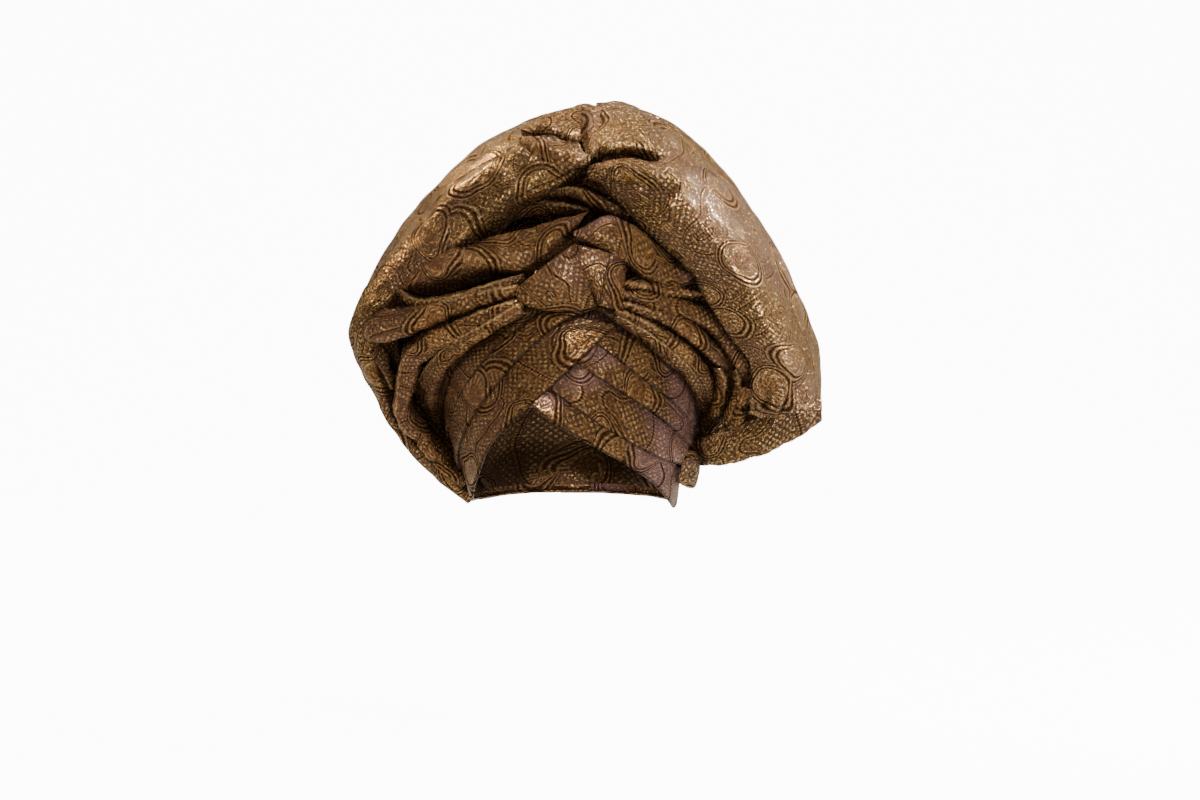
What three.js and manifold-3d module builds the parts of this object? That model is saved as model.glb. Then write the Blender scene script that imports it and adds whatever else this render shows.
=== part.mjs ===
// Tied gele head tie: one stiff brocade cloth, pleated, knotted in front and fanned out round the head.
// Millimetres. +X is the wearer's left, -Y is the front, +Z is up. The origin is where the crown bears.
import * as THREE from 'three';
import { mergeVertices } from 'three/addons/utils/BufferGeometryUtils.js';
import Module from 'manifold-3d';

const wasm = await Module();
wasm.setup();

// Driving dimensions
const CLOTH = 1.6;            // wall of doubled, stiffened cloth
const GAP = 0.35;             // room between two neighbours that touch
const LIP = 3;                // radius of a fold's rounded edge
const HEAD_HALF_WIDTH = 75;   // hollow for the head
const HEAD_HALF_DEPTH = 93;
const HEAD_HEIGHT = 142;      // crown to the rim of the wrap
const CORE_Y = 40;            // a fold's outer side faces away from this line through the head
const CORE_Z_SHARE = 0.5;
const PLEAT_RISE = 0.8;       // how far a pressed pleat's lower edge stands off
const PLEAT_SINK = 2.2;       // how deep its upper edge lies under the next pleat
const PLEAT_STEPS = 8;        // facets along a pleat
const RIBBON_FOLD = { tuckUp: 3, tuckLow: 3, lip: 2.5, across: 4 };
const SHOULDER_SHARE = 0.1;   // how far the right fan's shoulder swells, of the way it spans
const CAP_SLANT = 33;         // degrees the cap's rim drops from the forehead to the nape
const CAP_CUT_Z = -229;       // middle of the block that trims the cap's rim
const FINEST = 0.15;           // smallest facet that is kept
const TOUCH = 0.001;          // mm3 of overlap that still calls for another cut
const NAPE_KNOT = { x: 2, y: 122, z: -112, halfWidth: 22, halfDepth: 13, halfHeight: 19 };

// Names the columns of a short table
function table(columns, rows) {
  const names = columns.split(' ');
  return rows.map((row) => Object.fromEntries(row.map((value, k) => [names[k], value])));
}

// A grid of points through rows of points: a smooth curve across each row, then along the rows
function loft(rows, along, across) {
  const sections = rows.map((row) => new THREE.CatmullRomCurve3(row, false, 'centripetal').getPoints(across));
  const grid = [];
  for (let j = 0; j <= across; j += 1) {
    const line = new THREE.CatmullRomCurve3(sections.map((section) => section[j]), false, 'centripetal');
    grid.push(line.getPoints(along));
  }
  return grid[0].map((_, i) => grid.map((line) => line[i]));
}

// Upper and lower edge of a fold, and how far its face swells between them
const FOLD = 'ux uy uz lx ly lz belly';

// A fold's section: turned in at the upper edge, over the swelling face, turned in at the lower edge
function foldRows(rows, { lip = LIP, tuckUp, tuckLow }) {
  const upper = rows.map((r) => new THREE.Vector3(r.ux, r.uy, r.uz));
  const lower = rows.map((r) => new THREE.Vector3(r.lx, r.ly, r.lz));
  const middle = upper.map((u, i) => u.clone().add(lower[i]).multiplyScalar(0.5));
  return rows.map((r, i) => {
    const before = middle[Math.max(i - 1, 0)];
    const after = middle[Math.min(i + 1, rows.length - 1)];
    const run = after.clone().sub(before).normalize();
    const down = lower[i].clone().sub(upper[i]);
    const width = down.length();
    down.normalize();
    const out = run.clone().cross(down).normalize();
    const core = new THREE.Vector3(0, CORE_Y, middle[i].z * CORE_Z_SHARE);
    if (out.dot(middle[i].clone().sub(core)) < 0) out.negate();
    const edge = Math.min(lip, width * 0.3);
    const section = [
      [edge * 1.4, -tuckUp],
      [0, -edge * 0.4],
      [edge, edge],
      [width * 0.5, edge + r.belly],
      [width - edge, edge],
      [width, -edge * 0.4],
      [width - edge * 1.4, -tuckLow],
    ];
    return section.map(([a, o]) => upper[i].clone().addScaledVector(down, a).addScaledVector(out, o));
  });
}

function fold(rows, options = {}) {
  return loft(foldRows(table(FOLD, rows), options), options.along ?? 8, options.across ?? 5);
}

// A pressed pleat's section: sunk under the next pleat above, nearly flat, its lower edge standing clear
function pleat(rows) {
  const plain = foldRows(table(FOLD, rows), { lip: PLEAT_RISE, tuckUp: PLEAT_SINK, tuckLow: 0 });
  return loft(plain.map((row) => [row[0], row[3], row[5]]), PLEAT_STEPS, 2);
}

// A wall on both sides of a grid, grown by a margin on every side, joined from one small block per cell
function wall(grid, thickness, margin) {
  const rows = grid.length;
  const columns = grid[0].length;
  const at = (i, j) => grid[Math.min(Math.max(i, 0), rows - 1)][Math.min(Math.max(j, 0), columns - 1)];
  const half = thickness / 2 + margin;
  const sides = [half, -half].map((side) => grid.map((row, i) => row.map((_, j) => {
    const du = at(i + 1, j).clone().sub(at(i - 1, j)).normalize();
    const dv = at(i, j + 1).clone().sub(at(i, j - 1)).normalize();
    const normal = du.clone().cross(dv).normalize();
    const point = at(i, j).clone().addScaledVector(normal, side);
    if (i === 0) point.addScaledVector(du, -margin);
    if (i === rows - 1) point.addScaledVector(du, margin);
    if (j === 0) point.addScaledVector(dv, -margin);
    if (j === columns - 1) point.addScaledVector(dv, margin);
    return point;
  })));
  const blocks = [];
  for (let i = 0; i + 1 < rows; i += 1) {
    for (let j = 0; j + 1 < columns; j += 1) {
      const corners = sides.flatMap((side) => [side[i][j], side[i + 1][j], side[i + 1][j + 1], side[i][j + 1]]);
      const block = new wasm.Manifold(new wasm.Mesh({
        numProp: 3,
        vertProperties: new Float32Array(corners.flatMap((point) => point.toArray())),
        triVerts: new Uint32Array(BLOCK),
      }));
      if (block.volume() > 0) blocks.push(block);
    }
  }
  return wasm.Manifold.union(blocks);
}

// Triangles of a block: corners 0 to 3 on the outer side, 4 to 7 under them; sides that meet split alike
const BLOCK = [
  0, 1, 2, 0, 2, 3,
  4, 6, 5, 4, 7, 6,
  0, 4, 5, 0, 5, 1,
  3, 2, 6, 3, 6, 7,
  0, 3, 7, 0, 7, 4,
  1, 6, 2, 1, 5, 6,
];

// Forehead band: each pleat lies over the one below it, its lower edge folded under
const bandLeft = [
  [
    [4, -99, 4, 33, -98, -3, 1], [-18, -98, -8, 17, -101, -18, 1], [-34, -93, -22, -8, -102, -42, 1],
    [-50, -85, -38, -29, -98, -61, 1], [-66, -72, -58, -45, -88, -75, 1],
    [-79, -52, -80, -60, -74, -94, 1], [-85, -22, -102, -70, -54, -118, 1],
    [-84, 10, -114, -76, -15, -138, 1], [-70, 55, -116, -72, 35, -144, 1],
    [-42, 82, -117, -47, 74, -144, 1], [-10, 94, -117, -12, 90, -144, 1],
    [14, 94, -117, 14, 91, -144, 1],
  ],
  [
    [6, -101, 20, 20, -105, 10, 1], [-20, -101, 8, -6, -105, 0, 1], [-37, -96, -1, -22, -102, -13, 1],
    [-53, -88, -14, -38, -97, -28, 1], [-69, -76, -31, -53, -88, -46, 1],
    [-83, -57, -52, -69, -71, -67, 1], [-92, -27, -75, -81, -48, -88, 1],
    [-93, 5, -92, -87, -12, -107, 1], [-85, 50, -104, -84, 30, -122, 1],
    [-52, 85, -108, -56, 74, -128, 1], [-14, 99, -110, -16, 93, -130, 1],
  ],
  [
    [-10, -100, 20, 0, -104, 17, 1], [-32, -100, 10, -24, -104, 6, 1], [-51, -91, -2, -40, -98, -7, 1],
    [-71, -76, -14, -57, -88, -22, 1], [-87, -57, -31, -71, -74, -40, 1],
    [-96, -30, -50, -83, -54, -59, 1], [-99, 0, -68, -92, -27, -79, 1], [-97, 30, -82, -94, 8, -96, 1],
    [-78, 68, -93, -82, 52, -109, 1], [-43, 93, -98, -47, 86, -115, 1],
    [-16, 104, -100, -17, 98, -117, 1],
  ],
  [
    [-38, -98, 12, -34, -103, 4, 1], [-56, -90, 4, -53, -93, -7, 1], [-76, -74, -7, -71, -79, -19, 1],
    [-91, -53, -22, -86, -61, -35, 1], [-100, -27, -40, -95, -33, -56, 1],
    [-104, 0, -58, -99, -5, -73, 1], [-101, 32, -73, -98, 25, -90, 1], [-80, 72, -83, -82, 64, -100, 1],
    [-45, 99, -88, -46, 93, -105, 1], [-18, 110, -90, -18, 104, -107, 1],
  ],
];
const bandRight = [
  [
    [-24, -97, -50, -33, -97, -58, 1], [-3, -98, -56, -10, -99, -75, 1], [12, -97, -66, 5, -98, -84, 1],
    [34, -91, -80, 22, -94, -94, 1], [54, -79, -94, 40, -86, -105, 1], [70, -62, -104, 58, -72, -118, 1],
    [82, -34, -110, 72, -50, -135, 1], [85, 0, -112, 77, -15, -145, 1], [80, 40, -113, 77, 35, -145, 1],
    [50, 82, -115, 52, 77, -145, 1], [16, 99, -116, 16, 95, -145, 1], [-10, 99, -116, -10, 95, -145, 1],
  ],
  [
    [-6, -97, -34, -14, -97, -50, 1], [12, -101, -37, 4, -102, -63, 1], [34, -95, -53, 26, -97, -78, 1],
    [54, -84, -68, 47, -88, -91, 1], [74, -66, -84, 66, -72, -102, 1], [87, -42, -98, 80, -50, -108, 1],
    [91, -10, -104, 88, -20, -116, 1], [86, 40, -104, 85, 35, -122, 1], [54, 85, -106, 56, 80, -124, 1],
    [16, 100, -108, 16, 96, -126, 1],
  ],
  [
    [12, -96, -14, 4, -97, -31, 1], [32, -99, -24, 24, -101, -43, 1], [54, -88, -40, 45, -92, -57, 1],
    [74, -71, -58, 65, -78, -71, 1], [87, -47, -72, 80, -58, -86, 1], [95, -18, -86, 90, -30, -99, 1],
    [94, 15, -92, 92, 5, -104, 1], [84, 52, -94, 84, 46, -110, 1], [52, 90, -98, 54, 85, -114, 1],
    [18, 105, -100, 18, 101, -116, 1],
  ],
  [
    [10, -95, 14, 2, -97, 0, 1], [26, -96, -1, 19, -98, -16, 1], [45, -95, -12, 36, -99, -29, 1],
    [66, -81, -26, 56, -88, -45, 1], [83, -60, -42, 74, -72, -60, 1], [94, -34, -58, 87, -46, -76, 1],
    [100, -5, -72, 95, -14, -88, 1], [98, 28, -80, 96, 20, -95, 1], [84, 64, -84, 86, 58, -100, 1],
    [52, 97, -88, 54, 92, -104, 1], [20, 111, -90, 20, 107, -106, 1],
  ],
  [
    [22, -97, 22, 18, -100, 10, 1], [38, -98, 10, 35, -101, -2, 1], [56, -92, 1, 52, -95, -14, 1],
    [75, -78, -12, 70, -82, -31, 1], [90, -57, -28, 85, -62, -43, 1], [100, -30, -44, 95, -34, -61, 1],
    [105, 0, -60, 100, -4, -77, 1], [102, 34, -70, 100, 30, -86, 1], [84, 75, -74, 86, 70, -90, 1],
    [52, 104, -78, 54, 99, -94, 1], [22, 117, -80, 22, 113, -96, 1],
  ],
];
const bandTuck = [
  [82, -46, -104, 80, -44, -118, 1], [88, -40, -100, 84, -38, -125, 2],
  [94, -28, -102, 91, -26, -129, 2], [96, -14, -106, 93, -12, -128, 1],
];

// Narrow folds that fan out from the knot round both sides: middle line, visible width, swell
const RIBBON = 'x y z width belly';
const ribbonLeft = [
  [
    [-34, -103, 9, 7, 1], [-65, -92, -9, 8, 1], [-90, -66, -28, 9, 1], [-104, -34, -48, 9, 1],
    [-108, -5, -66, 9, 1], [-104, 22, -84, 9, 1], [-95, 40, -101, 8, 1], [-84, 50, -117, 6, 1],
  ],
  [
    [-36, -106, 13, 6, 1], [-62, -99, -3, 7, 1], [-84, -83, -15, 8, 1], [-100, -60, -30, 8, 1],
    [-111, -32, -46, 8, 1], [-115, -4, -60, 8, 1], [-111, 20, -74, 8, 1], [-99, 42, -94, 7, 1],
    [-86, 54, -113, 6, 1],
  ],
];
const ribbonRight = [
  [
    [33, -103, 28, 8, 1], [55, -101, 26, 10, 1], [72, -95, 22, 11, 1], [88, -86, 20, 9, 1],
    [97, -78, 18, 7, 1],
  ],
  [
    [33, -104, 21, 7, 1], [57, -102, 16, 11, 1], [80, -92, 9, 14, 1], [98, -80, 2, 13, 1],
    [111, -68, -10, 11, 1], [121, -62, -24, 10, 1], [129, -57, -37, 9, 1], [134, -51, -50, 7, 1],
  ],
  [
    [33, -104, 15, 6, 1], [55, -102, 8, 9, 1], [78, -92, -1, 12, 1], [95, -78, -13, 13, 1],
    [110, -62, -28, 11, 1], [119, -48, -40, 10, 1], [119, -38, -54, 8, 1],
  ],
  [
    [33, -104, 9, 6, 1], [52, -101, 0, 8, 1], [70, -92, -11, 10, 1], [88, -76, -26, 11, 1],
    [101, -52, -44, 11, 1], [106, -26, -62, 10, 1], [104, 0, -77, 9, 1], [99, 18, -90, 8, 1],
    [94, 30, -101, 6, 1],
  ],
  [
    [34, -103, 4, 5, 1], [50, -100, -5, 7, 1], [66, -90, -17, 8, 1], [82, -73, -32, 8, 1],
    [95, -48, -50, 8, 1], [101, -22, -66, 8, 1], [99, 8, -82, 7, 1], [94, 28, -98, 6, 1],
  ],
];

// Flat facets of the knot
const knotLeft = [
  [4, -112, 56, -40, -104, 22, 3], [9, -113, 45, -36, -107, 15, 3], [13, -113, 30, -22, -109, 9, 3],
  [19, -112, 12, 4, -110, 8, 2],
];
const knotMiddle = [
  [6, -111, 55, 9, -113, 35, 1], [18, -112, 52, 15, -114, 26, 1], [28, -111, 49, 20, -114, 13, 1],
];
const knotRight = [
  [29, -111, 49, 40, -102, 44, 1], [25, -113, 30, 40, -104, 28, 1], [21, -113, 12, 38, -105, 7, 1],
];

// Rolled folds left of the knot
const panelLeft = [
  [14, -95, 79, 6, -101, 68, 1], [0, -97, 75, -9, -106, 57, 2], [-25, -97, 69, -22, -107, 46, 3],
  [-48, -95, 63, -36, -106, 37, 4], [-68, -91, 57, -60, -104, 40, 4], [-88, -85, 51, -88, -98, 38, 4],
  [-106, -79, 42, -108, -90, 31, 3], [-119, -73, 34, -123, -79, 22, 1],
];
const foldLeftBack = [
  [14, -86, 82, 13, -89, 76, 1], [0, -83, 87, -4, -85, 78, 2], [-20, -79, 91, -20, -82, 78, 2],
  [-40, -75, 88, -40, -79, 75, 2], [-58, -71, 77, -62, -75, 69, 2], [-78, -67, 61, -80, -69, 56, 1],
];
const rollLeft1 = [
  [-33, -100, 35, -33, -104, 30, 1], [-55, -101, 29, -57, -105, 21, 2], [-75, -98, 23, -75, -103, 14, 2],
  [-95, -92, 18, -95, -97, 9, 2], [-110, -84, 17, -112, -88, 10, 1], [-121, -77, 22, -124, -79, 17, 1],
  [-125, -75, 29, -128, -76, 28, 0],
];
const rollLeft2 = [
  [-37, -99, 28, -37, -104, 20, 1], [-60, -98, 25, -60, -104, 13, 2], [-85, -93, 19, -88, -99, 5, 3],
  [-110, -84, 13, -110, -90, -5, 4], [-130, -74, 10, -130, -78, -14, 4],
  [-146, -62, 7, -145, -65, -17, 3], [-153, -50, 2, -152, -50, -15, 1],
];
const rollLeft3 = [
  [-34, -101, 19, -34, -105, 11, 1], [-60, -96, 12, -60, -102, 0, 2], [-90, -82, 1, -82, -92, -12, 3],
  [-111, -67, -9, -102, -76, -25, 4], [-124, -51, -22, -115, -58, -36, 4],
  [-131, -35, -46, -119, -45, -50, 3], [-134, -19, -71, -123, -28, -71, 3],
  [-121, -2, -92, -112, -9, -93, 2], [-106, 17, -112, -99, 10, -113, 2],
  [-87, 35, -131, -82, 29, -131, 1],
];
const pocketLeft = [
  [-150, -46, -20, -147, -48, -24, 1], [-146, -44, -28, -140, -46, -34, 1],
  [-141, -38, -40, -134, -40, -42, 1], [-137, -30, -52, -131, -32, -52, 1],
];

// Folds right of the knot
const leafRight = [
  [3, -104, 65, 3, -106, 60, 0], [15, -103, 70, 15, -109, 57, 2], [30, -101, 76, 30, -110, 49, 4],
  [46, -99, 68, 45, -108, 40, 4], [60, -94, 58, 58, -104, 31, 3], [72, -89, 47, 70, -98, 26, 3],
  [84, -83, 36, 83, -90, 26, 2], [91, -78, 31, 91, -81, 27, 0],
];
const rollRight = [
  [-16, -80, 95, -14, -82, 90, 0], [0, -86, 98, 0, -90, 91, 1], [15, -90, 94, 15, -95, 85, 1],
  [30, -91, 87, 30, -96, 78, 1], [43, -89, 79, 41, -92, 74, 0],
];
const pocketRight1 = [
  [112, -60, -33, 105, -62, -36, 1], [118, -52, -42, 108, -54, -44, 2],
  [119, -40, -56, 107, -42, -56, 2], [117, -25, -74, 103, -28, -72, 2], [110, -10, -88, 96, -12, -85, 1],
  [101, 2, -100, 90, 0, -97, 1],
];
const pocketRight2 = [
  [124, -58, -34, 120, -59, -38, 0], [128, -54, -46, 121, -55, -47, 1],
  [128, -48, -58, 120, -49, -57, 1], [123, -40, -70, 117, -42, -68, 1],
  [118, -32, -82, 113, -34, -80, 1],
];
const flapRight = [
  [139, -60, -46, 124, -58, -50, 1], [138, -54, -58, 124, -53, -60, 2],
  [133, -47, -70, 121, -46, -72, 2], [131, -40, -86, 117, -39, -88, 1],
];

// Folds gathered at the pinch on top
const pinchLeaf = [
  [-38, -70, 134, -37, -73, 129, 0], [-22, -76, 133, -24, -82, 115, 2], [-6, -80, 128, -10, -88, 109, 3],
  [6, -84, 124, 4, -91, 111, 2], [14, -84, 120, 14, -89, 113, 0],
];
const pinchPanel = [
  [-36, -50, 139, -36, -66, 137, 1], [-20, -48, 149, -20, -70, 136, 2], [-4, -46, 154, -4, -74, 132, 2],
  [8, -48, 155, 7, -76, 129, 1],
];
const pinchFold = [
  [2, -40, 156, 12, -84, 118, 1], [12, -40, 158, 16, -86, 119, 2], [22, -44, 155, 20, -86, 120, 1],
];
const pinchLump = [
  [19, -28, 159, 18, -84, 121, 1], [34, -26, 160, 26, -87, 123, 3], [47, -28, 156, 36, -86, 125, 4],
  [58, -30, 150, 50, -86, 126, 2], [72, -32, 140, 66, -86, 120, 0],
];
const pinchCrease = [
  [14, -92, 112, 14, -94, 102, 1], [30, -98, 116, 33, -102, 101, 3], [47, -102, 116, 52, -107, 98, 4],
  [62, -104, 112, 66, -109, 94, 4], [76, -103, 107, 80, -107, 95, 2],
];

// The great fan. Front left: ridge and inner edge. Others: four lines from the front over the rim to the nape
const fanLeftFront = [
  [2, -62, 134, 12, -86, 115, 2], [-22, -62, 135, -8, -90, 102, 4], [-38, -65, 129, -28, -93, 94, 5],
  [-54, -65, 120, -46, -95, 85, 6], [-70, -63, 111, -60, -95, 74, 7], [-87, -59, 100, -78, -95, 59, 8],
  [-105, -53, 81, -98, -92, 45, 8], [-123, -46, 57, -116, -86, 37, 8], [-140, -38, 32, -130, -79, 22, 8],
  [-156, -28, 7, -145, -70, 7, 6], [-164, -20, -12, -151, -60, -8, 4],
  [-160, -14, -32, -149, -46, -28, 3], [-151, -8, -54, -143, -26, -50, 1],
  [-143, 0, -76, -136, -9, -73, 0], [-130, 8, -97, -123, 1, -94, 0], [-114, 20, -117, -108, 13, -114, 0],
  [-98, 34, -133, -93, 27, -130, 0], [-82, 46, -147, -78, 40, -144, 0],
];
const foldRightLow = [
  [88, -22, -98, 92, -14, -112, 1], [104, -32, -88, 106, -22, -112, 2],
  [121, -42, -80, 122, -32, -109, 3], [138, -50, -74, 138, -42, -104, 3],
  [153, -56, -68, 153, -48, -97, 3], [170, -58, -64, 170, -54, -87, 2],
  [185, -56, -64, 186, -54, -76, 1],
];
// Front edge, swell or rim, rim or shoulder, and far edge of a fan's section
const LOFT = 'ax ay az bx by bz cx cy cz dx dy dz';
const fanLeftBack = [
  [40, -62, 138, 42, 8, 153, 36, 75, 131, 22, 121, 60],
  [14, -64, 138, 12, 8, 156, 10, 75, 135, 6, 121, 60],
  [-12, -62, 134, -12, 8, 155, -10, 78, 134, -2, 123, 58],
  [-40, -62, 122, -42, 8, 145, -34, 82, 124, -14, 123, 50],
  [-64, -60, 107, -71, 8, 129, -58, 84, 108, -26, 121, 38],
  [-87, -55, 92, -97, 8, 106, -80, 84, 86, -36, 119, 24],
  [-106, -49, 73, -119, 8, 81, -99, 84, 63, -44, 117, 6],
  [-124, -42, 50, -138, 8, 56, -115, 82, 38, -50, 114, -14],
  [-140, -35, 26, -152, 8, 30, -127, 80, 14, -53, 111, -34],
  [-153, -28, 2, -164, 8, 6, -136, 78, -10, -53, 107, -54],
  [-158, -24, -14, -170, 8, -14, -138, 74, -32, -50, 104, -72],
  [-156, -10, -35, -162, 12, -36, -132, 70, -54, -45, 101, -88],
  [-145, 10, -60, -147, 20, -62, -122, 66, -76, -39, 97, -102],
  [-129, 18, -90, -130, 28, -92, -108, 66, -100, -32, 94, -114],
  [-111, 30, -113, -110, 40, -116, -90, 68, -120, -25, 91, -122],
  [-90, 46, -134, -86, 54, -139, -68, 70, -138, -18, 88, -130],
];
const fanRightFront = [
  [10, -88, 101, 22, -98, 112, 38, -5, 160, 34, 45, 152],
  [24, -92, 93, 48, -106, 113, 62, 0, 153, 57, 50, 142],
  [40, -95, 82, 70, -110, 100, 86, 5, 140, 79, 55, 128],
  [56, -97, 67, 87, -112, 84, 109, 8, 119, 99, 58, 108],
  [72, -96, 51, 103, -112, 66, 130, 8, 92, 118, 60, 84],
  [88, -93, 35, 119, -108, 44, 150, 10, 62, 136, 62, 57],
  [98, -88, 18, 133, -102, 20, 167, 10, 31, 152, 62, 28],
  [109, -82, 0, 145, -94, -4, 180, 10, 0, 164, 60, 0],
  [121, -76, -17, 154, -84, -26, 189, 8, -28, 173, 55, -26],
  [134, -70, -34, 161, -74, -46, 191, 5, -50, 175, 48, -46],
  [139, -66, -52, 165, -66, -62, 190, 0, -68, 174, 40, -62],
  [135, -60, -69, 164, -58, -75, 187, -5, -77, 172, 30, -74],
];
const fanRightBack = [
  [32, 35, 149, 20, 84, 134, 10, 112, 96, 4, 126, 50],
  [55, 38, 139, 40, 92, 122, 22, 118, 86, 9, 128, 44],
  [77, 42, 126, 60, 98, 108, 34, 124, 74, 14, 130, 36],
  [96, 44, 107, 78, 100, 90, 46, 126, 58, 20, 130, 26],
  [115, 44, 83, 94, 100, 68, 56, 126, 38, 25, 129, 12],
  [133, 44, 57, 109, 98, 43, 64, 124, 16, 29, 127, -4],
  [149, 42, 29, 122, 94, 18, 70, 120, -6, 31, 124, -22],
  [161, 40, 1, 131, 90, -6, 74, 116, -28, 32, 121, -40],
  [169, 34, -27, 136, 84, -32, 75, 112, -48, 31, 118, -58],
  [170, 26, -48, 136, 76, -54, 74, 106, -66, 29, 115, -74],
  [168, 18, -66, 132, 66, -74, 70, 100, -84, 27, 111, -90],
  [166, 6, -82, 126, 48, -94, 68, 88, -100, 26, 105, -106],
];

const drapeBack = [
  [-62, 119, 66, -72, 117, 0, -54, 108, -70, -14, 99, -118],
  [-30, 129, 79, -37, 129, 6, -29, 121, -64, -6, 107, -118],
  [4, 133, 82, 0, 134, 8, 0, 126, -62, 2, 110, -118],
  [30, 132, 71, 37, 131, 4, 29, 122, -64, 10, 107, -118],
  [46, 129, 50, 58, 125, 0, 48, 113, -68, 18, 100, -118],
];

// The four named points of each row of a fan table
function loftRows(rows) {
  return table(LOFT, rows).map((r) => ['a', 'b', 'c', 'd'].map(
    (key) => new THREE.Vector3(r[`${key}x`], r[`${key}y`], r[`${key}z`]),
  ));
}

// One more point in each row, halfway from the swell to the rim, pushed out by a share of that way
function shouldered(rows) {
  return rows.map(([front, swell, rim, far], i) => {
    const before = rows[Math.max(i - 1, 0)][2];
    const after = rows[Math.min(i + 1, rows.length - 1)][2];
    const way = rim.clone().sub(swell);
    const out = after.clone().sub(before).cross(way).normalize().multiplyScalar(way.length() * SHOULDER_SHARE);
    return [front, swell, swell.clone().lerp(rim, 0.5).add(out), rim, far];
  });
}

// A ribbon's two edges lie either side of its middle line, square to its run, facing away from the head
function ribbon(rows, options) {
  const named = table(RIBBON, rows);
  const middle = named.map((r) => new THREE.Vector3(r.x, r.y, r.z));
  const edges = named.map((r, i) => {
    const before = middle[Math.max(i - 1, 0)];
    const after = middle[Math.min(i + 1, rows.length - 1)];
    const run = after.clone().sub(before).normalize();
    const out = middle[i].clone().sub(new THREE.Vector3(0, CORE_Y, middle[i].z));
    const side = run.clone().cross(out).normalize().multiplyScalar(r.width / 2);
    if (side.z < 0) side.negate();
    const upper = middle[i].clone().add(side);
    const lower = middle[i].clone().sub(side);
    return [upper.x, upper.y, upper.z, lower.x, lower.y, lower.z, r.belly];
  });
  return fold(edges, options);
}

// The first turn of cloth over the crown: an oval dome, cut high over the forehead and low at the nape
function crownCap() {
  const rings = 5;
  const profile = [];
  const lowest = 0.98;
  const point = (turn, extra) => new THREE.Vector2(
    (HEAD_HALF_WIDTH + extra) * Math.sin(turn),
    (HEAD_HEIGHT + extra) * (Math.cos(turn)) - HEAD_HEIGHT,
  );
  for (let i = 0; i <= rings; i += 1) profile.push(point((lowest * Math.PI * i) / rings / 2, 0));
  for (let i = rings; i >= 0; i -= 1) profile.push(point((lowest * Math.PI * i) / rings / 2, CLOTH));
  const dome = new THREE.LatheGeometry(profile, 16);
  dome.rotateX(Math.PI / 2);
  dome.scale(1, HEAD_HALF_DEPTH / HEAD_HALF_WIDTH, 1);
  const cut = new THREE.BoxGeometry(400, 400, 200);
  cut.rotateX(THREE.MathUtils.degToRad(-CAP_SLANT));
  cut.translate(0, 0, CAP_CUT_Z);
  return solid(dome).subtract(solid(cut));
}

// A three.js geometry as a solid: only its places are kept, and points that meet are joined
function solid(geometry) {
  const plain = geometry.toNonIndexed();
  plain.deleteAttribute('normal');
  plain.deleteAttribute('uv');
  const merged = mergeVertices(plain, 1e-3);
  const index = merged.index.array;
  const kept = [];
  for (let k = 0; k < index.length; k += 3) {
    const [a, b, c] = [index[k], index[k + 1], index[k + 2]];
    if (a !== b && b !== c && a !== c) kept.push(a, b, c);
  }
  return new wasm.Manifold(new wasm.Mesh({
    numProp: 3,
    vertProperties: merged.attributes.position.array,
    triVerts: new Uint32Array(kept),
  }));
}

// The knot at the nape: a tight, flattened ball of cloth
function napeKnot() {
  const ball = new THREE.SphereGeometry(1, 12, 8);
  ball.rotateX(Math.PI / 2);
  ball.scale(NAPE_KNOT.halfWidth, NAPE_KNOT.halfDepth, NAPE_KNOT.halfHeight);
  ball.translate(NAPE_KNOT.x, NAPE_KNOT.y, NAPE_KNOT.z);
  return solid(ball);
}

const gele = new THREE.Group();
const placed = [];

// Adds a piece: what lies over it is taken out of it with room to spare, and its largest part is kept
function place(name, body, clearance, look) {
  const near = placed.filter((other) => overlaps(body.boundingBox(), other.box));
  let shape = near.reduce((left, other) => left.subtract(other.clearance), body);
  shape = largest(largest(shape).asOriginal().simplify(FINEST));
  for (const other of near) {
    if (shape.intersect(other.shape).volume() > TOUCH) shape = largest(shape.subtract(other.clearance));
  }
  const room = clearance.add(shape);
  placed.push({ shape, clearance: room, box: room.boundingBox() });
  const mesh = shape.getMesh();
  const geometry = new THREE.BufferGeometry();
  const places = new Float32Array(mesh.numVert * 3);
  for (let v = 0; v < mesh.numVert; v += 1) {
    for (let k = 0; k < 3; k += 1) places[v * 3 + k] = mesh.vertProperties[v * mesh.numProp + k];
  }
  geometry.setAttribute('position', new THREE.BufferAttribute(places, 3));
  geometry.setIndex(Array.from(mesh.triVerts));
  geometry.computeVertexNormals();
  const node = new THREE.Mesh(geometry, look);
  node.name = name;
  gele.add(node);
}

function largest(shape) {
  return shape.decompose().sort((a, b) => b.volume() - a.volume())[0];
}

function overlaps(a, b) {
  return [0, 1, 2].every((k) => a.min[k] < b.max[k] && b.min[k] < a.max[k]);
}

function placeSheet(name, grid, look = brocade) {
  const body = wall(grid, CLOTH, 0);
  place(name, body, wall(grid, CLOTH, GAP).add(body), look);
}

function placeSolid(name, body, look = brocade) {
  place(name, body, body, look);
}

const brocade = new THREE.MeshStandardMaterial({ color: 0x7a5c38, roughness: 0.5, metalness: 0.35 });
const brocadeLight = new THREE.MeshStandardMaterial({ color: 0x9a7a4c, roughness: 0.45, metalness: 0.4 });
const brocadeShade = new THREE.MeshStandardMaterial({ color: 0x5e452a, roughness: 0.55, metalness: 0.3 });

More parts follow.
